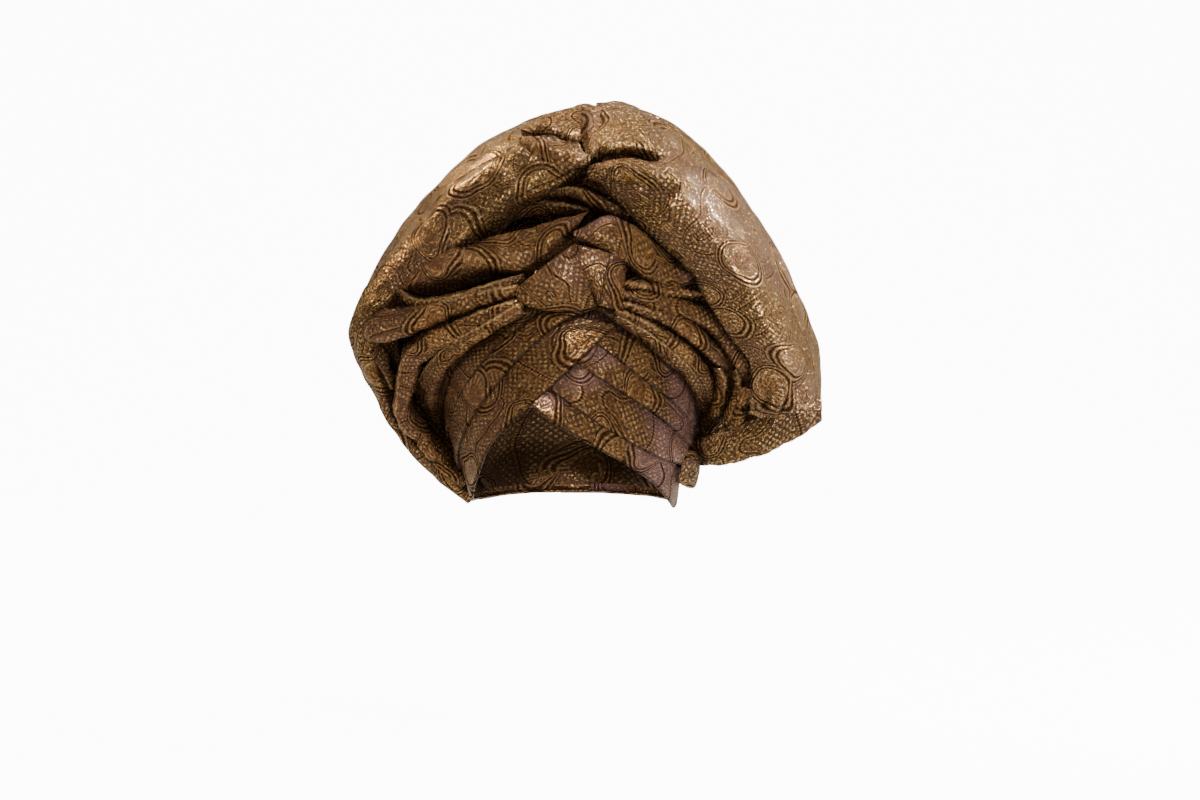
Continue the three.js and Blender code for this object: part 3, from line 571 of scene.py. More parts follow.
def fold(rows, lip=2.4, tuck_up=14.0, tuck_low=14.0, along=90, across=34):
    """A fold from rows of upper edge x y z, lower edge x y z and the swell of its face.

    The section turns in behind the upper edge, runs round its lip, over the swelling face, round the
    lower lip and in again.
    """
    rows = np.asarray(rows, float)
    places = across_frame(rows)
    width, belly = places[3], rows[:, 6]
    edge = np.minimum(lip, width * 0.3)
    zero = width * 0
    down_mm = [edge * 1.4, zero, edge, width / 2, width - edge, width, width - edge * 1.4]
    out_mm = [zero - tuck_up, edge * -0.4, edge, edge + belly, edge, edge * -0.4, zero - tuck_low]
    return loft(section(places, down_mm, out_mm), along, across)


PLEAT_UNDER_MM = 4      # how far a pleat runs up behind the one above it
PLEAT_SINK_MM = 2.2     # how deep it lies there
PLEAT_HEM_MM = 1.8      # how far its lower edge turns in


def pleat(rows, along=150, across=26):
    """A flat pleat: its upper edge runs in under the pleat above, its lower edge turns under sharply."""
    rows = np.asarray(rows, float)
    places = across_frame(rows)
    width = places[3]
    zero = width * 0
    ends = zero - PLEAT_UNDER_MM, zero + 0.5
    down_mm = [*ends, width * 0.3, width * 0.65, width - 1, width, width - 1.5]
    out_mm = [zero + rise for rise in (-PLEAT_SINK_MM, -0.6, 0.2, 0.6, 0.8, 0.1, -PLEAT_HEM_MM)]
    return loft(section(places, down_mm, out_mm), along, across)


def ribbon(rows, **options):
    """A narrow fold from its middle line: x y z, visible width and swell. Its edges lie square to it."""
    rows = np.asarray(rows, float)
    middle, width = rows[:, :3], rows[:, 3:4]
    side = unit(np.cross(heading(middle), from_core(middle, 1)))
    side *= np.where(side[:, 2:] < 0, -1, 1)
    return fold(np.hstack([middle + side * width / 2, middle - side * width / 2, rows[:, 4:5]]), **options)


print("a fold grid is", fold([[0, -90, 10, 0, -92, -10, 1], [30, -90, 10, 30, -92, -10, 1]]).shape)

# %% [markdown]
# ## What stiff cloth does by itself
#
# Then every grid gets what brocade shows when it is pulled tight: long soft waves and a few sharper
# creases, pleats that run out from where the cloth is gathered, and hollows where a hand pressed it.
# A cloth simulation would find such waves too, but not these ones, at the places where the tie has
# them. So they are moves along the surface's own normal, with a set strength for every piece.


# %% Waves, gathers, hollows and rolled edges
WAVES = 7   # a crumple is a sum of so many, each shorter and weaker than the one before


def crumple(grid, amount, seed, size=38.0, crease=0.5, hold=0.12):
    """Moves the grid along its normal by a sum of waves that run in chance directions over the cloth.

    Half of each wave is a sine and half the ridge 1 - 2|sin|, which makes a crease. Amount is in mm,
    size is the longest wave in mm, and hold is the share of the sheet's ends that stays still.
    """
    u, v = lengths(grid)
    rng = np.random.default_rng(seed)
    moved = np.zeros(u.shape)
    for k in range(WAVES):
        wave = size / (1 + 0.55 * k)
        direction = rng.uniform(-0.9, 0.9) if k % 2 else rng.uniform(0, math.pi)
        phase = rng.uniform(0, 2 * math.pi)
        arc = 2 * math.pi * (u * math.cos(direction) + v * math.sin(direction)) / wave + phase
        arc = arc + 0.9 * np.sin(u / size * 2.1 + v / size * 1.3 + phase * 2)
        ridge = 1 - 2 * np.abs(np.sin(arc / 2))
        moved += ((1 - crease) * np.sin(arc) + crease * ridge) / (1 + 0.5 * k)
    share = np.linspace(0, 1, len(grid))[:, None]
    ease = np.clip(np.minimum(share, 1 - share) / max(hold, 1e-6), 0, 1)
    return grid + normals(grid) * (moved * ease * amount / 2)[..., None]


def gather(grid, amount, folds, seed, at_start=True, reach=0.6):
    """Pleats that run out from one end of the sheet: a sine across it, fading along it."""
    rng = np.random.default_rng(seed)
    share = np.linspace(0, 1, len(grid))[:, None]
    share = share if at_start else 1 - share
    fade = np.clip(1 - share / reach, 0, 1) ** 1.5 * np.clip(share / 0.04, 0, 1)
    across = np.linspace(0, 1, grid.shape[1])[None, :]
    sway = 0.06 * np.sin(2 * math.pi * share * 1.3 + rng.uniform(0, 6))
    arc = 2 * math.pi * folds * (across + sway) + rng.uniform(0, 6)
    return grid + normals(grid) * (amount * fade * (0.7 * np.sin(arc) + 0.3 * np.sin(2.3 * arc)))[..., None]


def press(grid, dents):
    """Pushes the cloth in at each dent, a bell-shaped hollow: x y z, three half-widths, and depth."""
    inward = -unit(from_core(grid))
    for x, y, z, wide, long, high, depth in dents:
        away = (grid - [x, y, z]) / [wide, long, high]
        grid = grid + inward * (depth * np.exp(-np.sum(away ** 2, axis=-1)))[..., None]
    return grid


def relax(grid, rounds):
    """Rounds off a sheet across its rows: each point moves halfway to the middle of its neighbours."""
    for _ in range(rounds):
        inner = (grid[:, :-2] + 2 * grid[:, 1:-1] + grid[:, 2:]) / 4
        grid = np.concatenate([grid[:, :1], inner, grid[:, -1:]], 1)
    return grid


def roll_edge(grid, radius=2.0, count=8):
    """Curls the first edge of the rows inwards: an arc of 200 degrees put in front of that edge."""
    rim = grid[:, 0]
    ahead = unit(rim - grid[:, 1])
    inward = normals(grid)[:, 0]
    inward = inward * np.where(np.sum(inward * from_core(rim, 0), axis=1) > 0, -1, 1)[:, None]
    turn = np.radians(np.linspace(200, 25, count))[None, :, None]
    forward = ahead[:, None] * radius * np.sin(turn)
    back = inward[:, None] * radius * (1 - np.cos(turn))
    return np.concatenate([rim[:, None] + forward + back, grid], 1)


crumpled_test = crumple(flat_test * 30, 1.0, 1)
print("a crumple of 1 mm moves a test sheet by", round(float(np.ptp(crumpled_test[..., 2])), 2), "mm in all")

# %% [markdown]
# ## Where the cloth bends
#
# On a sharp ridge the materials paint a highlight, for light that catches the bend and partly for worn,
# bright metal thread. In a sharp hollow they paint shade, because its sides shade each other. Both come
# from one measure, how fast the normal turns. It is kept on the mesh as an attribute, and the materials
# read it.


# %% The bend of a grid, and a mesh from it
CLOTH_MM = 1.0
SEED_STEP = 0.37       # from one piece's pattern seed to the next one's
LITTLE_PURPLE = 0.15   # the share of purple thread in most of the tie
BEND_GAIN_MM = 1.3     # the normal's turn for each mm, times this, is the bend
SHORTEST_MM = 0.15     # steps of the grid count as at least this long


def bending(grid):
    """1 on a sharp ridge, -1 in a sharp hollow: how fast the normal turns along and across, per mm."""
    way_out = outward(grid)
    turned = 0
    for axis in (0, 1):
        slope = np.gradient(grid, axis=axis)
        step_mm = np.maximum(np.linalg.norm(slope, axis=-1), SHORTEST_MM)
        turned = turned + np.sum(np.gradient(way_out, axis=axis) * slope, axis=-1) / step_mm ** 2
    return np.clip(smooth(turned, 2) * BEND_GAIN_MM, -1, 1)


def grid_mesh(name, grid):
    """A mesh of the grid's quads with the cloth's own lengths, in metres, as its UV map."""
    along, across = grid.shape[:2]
    index = np.arange(along * across).reshape(along, across)
    quads = np.stack([index[:-1, :-1], index[1:, :-1], index[1:, 1:], index[:-1, 1:]], -1).reshape(-1, 4)
    mesh = bpy.data.meshes.new(name)
    mesh.vertices.add(along * across)
    mesh.vertices.foreach_set("co", (grid * MM).astype(np.float32).ravel())
    mesh.loops.add(quads.size)
    mesh.loops.foreach_set("vertex_index", quads.astype(np.int32).ravel())
    mesh.polygons.add(len(quads))
    mesh.polygons.foreach_set("loop_start", np.arange(0, quads.size, 4, dtype=np.int32))
    mesh.update(calc_edges=True)
    mesh.polygons.foreach_set("use_smooth", np.ones(len(quads), dtype=bool))
    flat = np.stack(lengths(grid), -1).reshape(-1, 2) * MM
    mesh.uv_layers.new(name="cloth").data.foreach_set("uv", flat[quads.ravel()].astype(np.float32).ravel())
    return mesh


def keep(mesh, name, values):
    """Keeps one value per vertex on the mesh, for the materials to read."""
    values = np.broadcast_to(values, len(mesh.vertices)).astype(np.float32)
    mesh.attributes.new(name, "FLOAT", "POINT").data.foreach_set("value", values)


made_pieces = {}
made_grids = {}


def make_sheet(name, grid, look="brocade",
               dyed=LITTLE_PURPLE, lip=1.0):
    """Grid of mm points to a piece with a wall, in its place in the frame.

    Dyed is the share of purple thread. Lip scales the highlight painted on its ridges, partly worn
    thread; below 0 the ridges get painted shade instead.
    """
    mesh = grid_mesh(name + "_cloth", grid)
    keep(mesh, "seed", (len(made_pieces) * SEED_STEP) % 1.0)
    keep(mesh, "dyed", dyed)
    keep(mesh, "bend", bending(grid).ravel() * lip)
    piece = bpy.data.objects.new(name + "_cloth", mesh)
    bpy.context.collection.objects.link(piece)
    mesh.materials.append(looks[look])
    wall = piece.modifiers.new("wall", "SOLIDIFY")
    wall.thickness = CLOTH_MM * MM
    wall.offset = 0
    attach(piece, "root")
    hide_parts(name)
    made_pieces[name] = piece
    made_grids[name] = grid


def make_fold(name, rows, amount, seed, size, look="brocade", dyed=LITTLE_PURPLE, **shape):
    """A fold as a piece: amount, seed and size of its waves go to crumple, its shape goes to fold."""
    make_sheet(name, crumple(fold(rows, **shape), amount, seed, size), look, dyed=dyed)


# %% [markdown]
# ## The crown cap and the nape knot
#
# The cap is the first turn of the cloth: it lies close over the crown and carries all the rest. It is an
# oval dome whose rim drops from the brow to the nape. Where the two ends of the cloth meet at the back
# they are tied once more, into a small flattened ball of wraps. Both are hidden or plain, so each is one
# formula and no table.


# %% Crown cap and nape knot
CAP_HALF_WIDTH = 76
CAP_HALF_DEPTH = 94
CAP_HEIGHT = 143
CAP_TOP_Z = 1
RIM_Z = -110           # the rim's height beside the ears
RIM_RISE = 60          # how far above that it stands over the brow
RIM_LOWEST_Z = -138    # behind it drops in the same way, down to here
NAPE_MIDDLE = (2, 122, -112)
NAPE_HALF = (20, 11, 17)


def crown_cap(along=96, across=40):
    """An oval dome: the lean from the crown grows across the row, and the rim drops to the back."""
    turn = np.linspace(0, 2 * math.pi, along)[:, None]
    rim_z = np.maximum(RIM_Z + RIM_RISE * np.cos(turn), RIM_LOWEST_Z)
    last = np.arccos(np.clip(1 + rim_z / CAP_HEIGHT, -1, 1))
    lean = 0.02 + (last - 0.02) * np.linspace(0, 1, across)[None, :]
    x = CAP_HALF_WIDTH * np.sin(lean) * np.sin(turn)
    y = -CAP_HALF_DEPTH * np.sin(lean) * np.cos(turn)
    z = CAP_TOP_Z + CAP_HEIGHT * (np.cos(lean) - 1)
    return np.stack([x, y, z], -1)


def nape_knot(along=72, across=40):
    """A flattened ball whose radius rises and falls in wraps that run aslant round it."""
    turn = np.linspace(0, 2 * math.pi, along)[:, None]
    lean = np.linspace(0.03, math.pi - 0.03, across)[None, :]
    wrap = 1 + 0.07 * np.abs(np.sin(2.5 * lean + 0.8 * np.sin(turn))) + 0.03 * np.sin(3 * turn + 5 * lean)
    x = NAPE_MIDDLE[0] + NAPE_HALF[0] * wrap * np.sin(lean) * np.cos(turn)
    y = NAPE_MIDDLE[1] + NAPE_HALF[1] * wrap * np.sin(lean) * np.sin(turn)
    z = NAPE_MIDDLE[2] + NAPE_HALF[2] * wrap * np.cos(lean)
    return np.stack([x, y, z], -1)


make_sheet("crown_cap", crown_cap(), "brocade_shade")
make_sheet("nape_knot", nape_knot(), "brocade")

# %% [markdown]
# ## The brow bands
#
# The lowest turns of the cloth are laid in flat pleats, four from the left and five from the right. They
# cross over the brow like the front of a wrap dress: each pleat runs round to the nape and lies a little
# over the one below it. Their lower edges are pressed to sharp folds, and each is painted as one fine
# dark line of shadow. The right bands show the cloth's purple thread most.

# %% Brow bands
BAND_EASE_MM = 0.35
EDGE_SHADOW = -0.7     # a pleat's folded edge gets a painted shadow line instead of a painted highlight
MUCH_PURPLE = 0.85   # the share of purple thread in the right bands
# Upper edge x y z, lower edge x y z; one list per band, lowest first, each from the brow to the nape
BAND_LEFT = [[
    [4, -99, 4, 33, -98, -3], [-18, -98, -8, 17, -101, -18], [-34, -93, -22, -8, -102, -42],
    [-50, -85, -38, -29, -98, -61], [-66, -72, -58, -45, -88, -75], [-79, -52, -80, -60, -74, -94],
    [-85, -22, -102, -70, -54, -118], [-84, 10, -114, -76, -15, -138], [-70, 55, -116, -72, 35, -144],
    [-42, 82, -117, -47, 74, -144], [-10, 94, -117, -12, 90, -144], [14, 94, -117, 14, 91, -144],
], [
    [6, -101, 20, 20, -105, 10], [-20, -101, 8, -6, -105, 0], [-37, -96, -1, -22, -102, -13],
    [-53, -88, -14, -38, -97, -28], [-69, -76, -31, -53, -88, -46], [-83, -57, -52, -69, -71, -67],
    [-92, -27, -75, -81, -48, -88], [-93, 5, -92, -87, -12, -107], [-85, 50, -104, -84, 30, -122],
    [-52, 85, -108, -56, 74, -128], [-14, 99, -110, -16, 93, -130],
], [
    [-10, -100, 20, 0, -104, 17], [-32, -100, 10, -24, -104, 6], [-51, -91, -2, -40, -98, -7],
    [-71, -76, -14, -57, -88, -22], [-87, -57, -31, -71, -74, -40], [-96, -30, -50, -83, -54, -59],
    [-99, 0, -68, -92, -27, -79], [-97, 30, -82, -94, 8, -96], [-78, 68, -93, -82, 52, -109],
    [-43, 93, -98, -47, 86, -115], [-16, 104, -100, -17, 98, -117],
], [
    [-38, -98, 12, -34, -103, 4], [-56, -90, 4, -53, -93, -7], [-76, -74, -7, -71, -79, -19],
    [-91, -53, -22, -86, -61, -35], [-100, -27, -40, -95, -33, -56], [-104, 0, -58, -99, -5, -73],
    [-101, 32, -73, -98, 25, -90], [-80, 72, -83, -82, 64, -100], [-45, 99, -88, -46, 93, -105],
    [-18, 110, -90, -18, 104, -107],
]]

# The same columns for the right bands
BAND_RIGHT = [[
    [-24, -97, -50, -33, -97, -58], [-3, -98, -56, -10, -99, -75], [12, -97, -66, 5, -98, -84],
    [34, -91, -80, 22, -94, -94], [54, -79, -94, 40, -86, -105], [70, -62, -104, 58, -72, -118],
    [82, -34, -110, 72, -50, -135], [85, 0, -112, 77, -15, -145], [80, 40, -113, 77, 35, -145],
    [50, 82, -115, 52, 77, -145], [16, 99, -116, 16, 95, -145], [-10, 99, -116, -10, 95, -145],
], [
    [-6, -97, -34, -14, -97, -50], [12, -101, -37, 4, -102, -63], [34, -95, -53, 26, -97, -78],
    [54, -84, -68, 47, -88, -91], [74, -66, -84, 66, -72, -102], [87, -42, -98, 80, -50, -108],
    [91, -10, -104, 88, -20, -116], [86, 40, -104, 85, 35, -122], [54, 85, -106, 56, 80, -124],
    [16, 100, -108, 16, 96, -126],
], [
    [12, -96, -14, 4, -97, -31], [32, -99, -24, 24, -101, -43], [54, -88, -40, 45, -92, -57],
    [74, -71, -58, 65, -78, -71], [87, -47, -72, 80, -58, -86], [95, -18, -86, 90, -30, -99],
    [94, 15, -92, 92, 5, -104], [84, 52, -94, 84, 46, -110], [52, 90, -98, 54, 85, -114],
    [18, 105, -100, 18, 101, -116],
], [
    [10, -95, 14, 2, -97, 0], [26, -96, -1, 19, -98, -16], [45, -95, -12, 36, -99, -29],
    [66, -81, -26, 56, -88, -45], [83, -60, -42, 74, -72, -60], [94, -34, -58, 87, -46, -76],
    [100, -5, -72, 95, -14, -88], [98, 28, -80, 96, 20, -95], [84, 64, -84, 86, 58, -100],
    [52, 97, -88, 54, 92, -104], [20, 111, -90, 20, 107, -106],
], [
    [22, -97, 22, 18, -100, 10], [38, -98, 10, 35, -101, -2], [56, -92, 1, 52, -95, -14],
    [75, -78, -12, 70, -82, -31], [90, -57, -28, 85, -62, -43], [100, -30, -44, 95, -34, -61],
    [105, 0, -60, 100, -4, -77], [102, 34, -70, 100, 30, -86], [84, 75, -74, 86, 70, -90],
    [52, 104, -78, 54, 99, -94], [22, 117, -80, 22, 113, -96],
]]

# A fold's columns: the loose end that hangs out under the right bands
BAND_TUCK = [
    [82, -46, -104, 80, -44, -118, 1], [88, -40, -100, 84, -38, -125, 2],
    [94, -28, -102, 91, -26, -129, 2], [96, -14, -106, 93, -12, -128, 1],
]

for side, bands, first_seed, dyed in (("left", BAND_LEFT, 41, LITTLE_PURPLE),
                                      ("right", BAND_RIGHT, 51, MUCH_PURPLE)):
    for k, rows in enumerate(bands):
        band = crumple(pleat(rows), BAND_EASE_MM, first_seed + k, 60)
        make_sheet(f"band_{side}_{k + 1}", band, dyed=dyed, lip=EDGE_SHADOW)
make_fold("band_tuck", BAND_TUCK, 0.4, 60, 24, lip=1, tuck_up=4, tuck_low=6, along=50)

# %% [markdown]
# ## The ribbons
#
# Above the bands the cloth is drawn hard into the knot, and what was wide becomes a bundle of narrow
# folds that open out towards the sides. The two on the left run round behind, the five on the right fan
# out downwards. A ribbon needs only its middle line, its width and a swell.

# %% Ribbons
# Middle line x y z, width, swell; one list per ribbon, from the knot outwards
RIBBON_LEFT = [[
    [-34, -103, 9, 7, 1], [-65, -92, -9, 8, 1], [-90, -66, -28, 9, 1], [-104, -34, -48, 9, 1],
    [-108, -5, -66, 9, 1], [-104, 22, -84, 9, 1], [-95, 40, -101, 8, 1], [-84, 50, -117, 6, 1],
], [
    [-36, -106, 13, 6, 1], [-62, -99, -3, 7, 1], [-84, -83, -15, 8, 1], [-100, -60, -30, 8, 1],
    [-111, -32, -46, 8, 1], [-115, -4, -60, 8, 1], [-111, 20, -74, 8, 1], [-99, 42, -94, 7, 1],
    [-86, 54, -113, 6, 1],
]]

# The same columns for the right ribbons, top one first
RIBBON_RIGHT = [[
    [33, -103, 28, 8, 1], [55, -101, 26, 10, 1], [72, -95, 22, 11, 1], [88, -86, 20, 9, 1],
    [97, -78, 18, 7, 1],
], [
    [33, -104, 21, 7, 1], [57, -102, 16, 11, 1], [80, -92, 9, 14, 1], [98, -80, 2, 13, 1],
    [111, -68, -10, 11, 1], [121, -62, -24, 10, 1], [129, -57, -37, 9, 1], [134, -51, -50, 7, 1],
], [
    [33, -104, 15, 6, 1], [55, -102, 8, 9, 1], [78, -92, -1, 12, 1], [95, -78, -13, 13, 1],
    [110, -62, -28, 11, 1], [119, -48, -40, 10, 1], [119, -38, -54, 8, 1],
], [
    [33, -104, 9, 6, 1], [52, -101, 0, 8, 1], [70, -92, -11, 10, 1], [88, -76, -26, 11, 1],
    [101, -52, -44, 11, 1], [106, -26, -62, 10, 1], [104, 0, -77, 9, 1], [99, 18, -90, 8, 1],
    [94, 30, -101, 6, 1],
], [
    [34, -103, 4, 5, 1], [50, -100, -5, 7, 1], [66, -90, -17, 8, 1], [82, -73, -32, 8, 1],
    [95, -48, -50, 8, 1], [101, -22, -66, 8, 1], [99, 8, -82, 7, 1], [94, 28, -98, 6, 1],
]]

for side, ribbons, first_seed, along in (("left", RIBBON_LEFT, 31, 140), ("right", RIBBON_RIGHT, 21, 120)):
    for k, rows in enumerate(ribbons):
        strip = ribbon(rows, lip=2.5, tuck_up=10, tuck_low=10, along=along, across=30)
        make_sheet(f"ribbon_{side}_{k + 1}", crumple(strip, 0.9, first_seed + k, 34))

# %% [markdown]
# ## The knot
#
# The knot is one strip wound round the crossing and tucked in. It shows three flat faces that meet on
# two slanting edges: a broad one on the left, a narrow one in the middle and a small one on the right.

# %% Knot
KNOT_LEFT = [
    [4, -112, 56, -40, -104, 22, 3], [9, -113, 45, -36, -107, 15, 3], [13, -113, 30, -22, -109, 9, 3],
    [19, -112, 12, 4, -110, 8, 2],
]

KNOT_MIDDLE = [
    [6, -111, 55, 9, -113, 35, 1], [18, -112, 52, 15, -114, 26, 1], [28, -111, 49, 20, -114, 13, 1],
]

KNOT_RIGHT = [
    [29, -111, 49, 40, -102, 44, 1], [25, -113, 30, 40, -104, 28, 1], [21, -113, 12, 38, -105, 7, 1],
]

make_fold("knot_left", KNOT_LEFT, 0.5, 1, 50, tuck_up=8, tuck_low=8, across=44)
make_fold("knot_middle", KNOT_MIDDLE, 0.3, 2, 40, lip=2, tuck_up=5, tuck_low=5)
make_fold("knot_right", KNOT_RIGHT, 0.3, 3, 40, lip=2, tuck_up=5, tuck_low=10)

# %% [markdown]
# ## The folds left of the knot
#
# The end that leaves the knot to the left is folded in long rolls. A broad panel lies on top, and under
# it three rolls lead outwards: the first one turns back and forms a loop with a dark eye, the other two
# go on round the side. Behind them one more fold and a small pocket fill the shade.

# %% Left panel and rolls
PANEL_LEFT = [
    [14, -95, 79, 6, -101, 68, 1], [0, -97, 75, -9, -106, 57, 2], [-25, -97, 69, -22, -107, 46, 3],
    [-48, -95, 63, -36, -106, 37, 4], [-68, -91, 57, -60, -104, 40, 4], [-88, -85, 51, -88, -98, 38, 4],
    [-106, -79, 42, -108, -90, 31, 3], [-119, -73, 34, -123, -79, 22, 1],
]

FOLD_LEFT_BACK = [
    [14, -86, 82, 13, -89, 76, 1], [0, -83, 87, -4, -85, 78, 2], [-20, -79, 91, -20, -82, 78, 2],
    [-40, -75, 88, -40, -79, 75, 2], [-58, -71, 77, -62, -75, 69, 2], [-78, -67, 61, -80, -69, 56, 1],
]

ROLL_LEFT_1 = [
    [-33, -100, 35, -33, -104, 30, 1], [-55, -101, 29, -57, -105, 21, 2],
    [-75, -98, 23, -75, -103, 14, 2], [-95, -92, 18, -95, -97, 9, 2], [-110, -84, 17, -112, -88, 10, 1],
    [-121, -77, 22, -124, -79, 17, 1], [-125, -75, 29, -128, -76, 28, 0],
]

ROLL_LEFT_2 = [
    [-37, -99, 28, -37, -104, 20, 1], [-60, -98, 25, -60, -104, 13, 2], [-85, -93, 19, -88, -99, 5, 3],
    [-110, -84, 13, -110, -90, -5, 4], [-130, -74, 10, -130, -78, -14, 4],
    [-146, -62, 7, -145, -65, -17, 3], [-153, -50, 2, -152, -50, -15, 1],
]

ROLL_LEFT_3 = [
    [-34, -101, 19, -34, -105, 11, 1], [-60, -96, 12, -60, -102, 0, 2], [-90, -82, 1, -82, -92, -12, 3],
    [-111, -67, -9, -102, -76, -25, 4], [-124, -51, -22, -115, -58, -36, 4],
    [-131, -35, -46, -119, -45, -50, 3], [-134, -19, -71, -123, -28, -71, 3],
    [-121, -2, -92, -112, -9, -93, 2], [-106, 17, -112, -99, 10, -113, 2],
    [-87, 35, -131, -82, 29, -131, 1],
]

POCKET_LEFT = [
    [-150, -46, -20, -147, -48, -24, 1], [-146, -44, -28, -140, -46, -34, 1],
    [-141, -38, -40, -134, -40, -42, 1], [-137, -30, -52, -131, -32, -52, 1],
]

make_fold("panel_left", PANEL_LEFT, 1.6, 4, 46, tuck_up=24, tuck_low=26, along=130, across=56)
make_fold("roll_left_1", ROLL_LEFT_1, 0.8, 5, 30, lip=2.5, tuck_up=24, tuck_low=14)
make_fold("roll_left_2", ROLL_LEFT_2, 1.3, 6, 34, lip=4, tuck_up=18, tuck_low=22, along=120)
make_fold("roll_left_3", ROLL_LEFT_3, 1.6, 7, 36, lip=4, tuck_up=18, tuck_low=14, along=160)
make_fold("fold_left_back", FOLD_LEFT_BACK, 1.2, 8, 34, "brocade_shade", tuck_up=16, tuck_low=16)
make_fold("pocket_left", POCKET_LEFT, 0.6, 9, 20, "brocade_shade",
          lip=2, tuck_up=8, tuck_low=8, along=60, across=24)

# %% [markdown]
# ## The folds right of the knot
#
# On the right a folded leaf of cloth points down and away from the knot, its purple side out. A roll lies
# in the shade above it. Lower down the ends of the ribbons are pushed up into two pockets and a flap.

# %% Right leaf, roll, pockets and flap
LEAF_RIGHT = [
    [3, -104, 65, 3, -106, 60, 0], [15, -103, 70, 15, -109, 57, 2], [30, -101, 76, 30, -110, 49, 4],
    [46, -99, 68, 45, -108, 40, 4], [60, -94, 58, 58, -104, 31, 3], [72, -89, 47, 70, -98, 26, 3],
    [84, -83, 36, 83, -90, 26, 2], [91, -78, 31, 91, -81, 27, 0],
]

ROLL_RIGHT = [
    [-16, -80, 95, -14, -82, 90, 0], [0, -86, 98, 0, -90, 91, 1], [15, -90, 94, 15, -95, 85, 1],
    [30, -91, 87, 30, -96, 78, 1], [43, -89, 79, 41, -92, 74, 0],
]

POCKET_RIGHT_1 = [
    [112, -60, -33, 105, -62, -36, 1], [118, -52, -42, 108, -54, -44, 2],
    [119, -40, -56, 107, -42, -56, 2], [117, -25, -74, 103, -28, -72, 2],
    [110, -10, -88, 96, -12, -85, 1], [101, 2, -100, 90, 0, -97, 1],
]

POCKET_RIGHT_2 = [
    [124, -58, -34, 120, -59, -38, 0], [128, -54, -46, 121, -55, -47, 1],
    [128, -48, -58, 120, -49, -57, 1], [123, -40, -70, 117, -42, -68, 1],
    [118, -32, -82, 113, -34, -80, 1],
]

FLAP_RIGHT = [
    [139, -60, -46, 124, -58, -50, 1], [138, -54, -58, 124, -53, -60, 2],
    [133, -47, -70, 121, -46, -72, 2], [131, -40, -86, 117, -39, -88, 1],
]

make_fold("leaf_right", LEAF_RIGHT, 1.2, 10, 36, dyed=0.6, tuck_up=16, tuck_low=12, along=110, across=46)
make_fold("roll_right", ROLL_RIGHT, 0.8, 11, 28, "brocade_shade", lip=2.5, tuck_up=10, tuck_low=12)
make_fold("pocket_right_1", POCKET_RIGHT_1, 0.8, 17, 24, lip=2.5, tuck_up=10, tuck_low=16)
make_fold("pocket_right_2", POCKET_RIGHT_2, 0.8, 18, 22, lip=2, tuck_up=8, tuck_low=8)
make_fold("flap_right", FLAP_RIGHT, 0.9, 19, 22, lip=2, tuck_up=6, tuck_low=6)

# %% [markdown]
# ## The pinch at the top
#
# The two halves of the fan are pinched together at the top. The spare cloth there stands up in small
# folds: a leaf and a panel left of the pinch, one narrow fold in it, a lump right of it, and one long
# crease that runs out below the lump.

# %% Pinch folds
PINCH_LEAF = [
    [-38, -70, 134, -37, -73, 129, 0], [-22, -76, 133, -24, -82, 115, 2],
    [-6, -80, 128, -10, -88, 109, 3], [6, -84, 124, 4, -91, 111, 2], [14, -84, 120, 14, -89, 113, 0],
]

PINCH_PANEL = [
    [-36, -50, 139, -36, -66, 137, 1], [-20, -48, 149, -20, -70, 136, 2],
    [-4, -46, 154, -4, -74, 132, 2], [8, -48, 155, 7, -76, 129, 1],
]

PINCH_FOLD = [
    [2, -40, 156, 12, -84, 118, 1], [12, -40, 158, 16, -86, 119, 2], [22, -44, 155, 20, -86, 120, 1],
]

PINCH_LUMP = [
    [19, -28, 159, 18, -84, 121, 1], [34, -26, 160, 26, -87, 123, 3], [47, -28, 156, 36, -86, 125, 4],
    [58, -30, 150, 50, -86, 126, 2], [72, -32, 140, 66, -86, 120, 0],
]

PINCH_CREASE = [
    [14, -92, 112, 14, -94, 102, 1], [30, -98, 116, 33, -102, 101, 3], [47, -102, 116, 52, -107, 98, 4],
    [62, -104, 112, 66, -109, 94, 4], [76, -103, 107, 80, -107, 95, 2],
]

make_fold("pinch_leaf", PINCH_LEAF, 0.9, 13, 26, tuck_up=10, tuck_low=10)
make_fold("pinch_panel", PINCH_PANEL, 0.9, 14, 24, tuck_up=12, tuck_low=10)
make_fold("pinch_fold", PINCH_FOLD, 0.7, 15, 22, tuck_up=8, tuck_low=8, along=50)
make_fold("pinch_lump", PINCH_LUMP, 0.9, 16, 24, "brocade_light", tuck_up=10, tuck_low=8, along=60)
make_fold("pinch_crease", PINCH_CREASE, 0.9, 12, 26, "brocade_light", tuck_up=7, tuck_low=7)

# %% [markdown]
# ## The fan
#
# The last turn of the cloth is spread wide and stands round the whole tie like a brim. It is one width of
# cloth, but it shows as four sheets: a front and a back on each side, which meet along the rim. On the
# left the front is a long roll of its own. On the right the front swells forward, rolls over the rim, and
# is pressed in where it was pinched at the top and at the lower corner. A low fold closes it underneath,
# and at the back a drape covers the place where the two halves meet.

# %% Fan
SHOULDER_SHARE = 0.1   # how far the right front bulges between swell and rim, as a share of that way
FRONT_ROLL_MM = 2.4    # radius of the roll along its front edge
END_ROLL_MM = 3.0      # and along its lower end
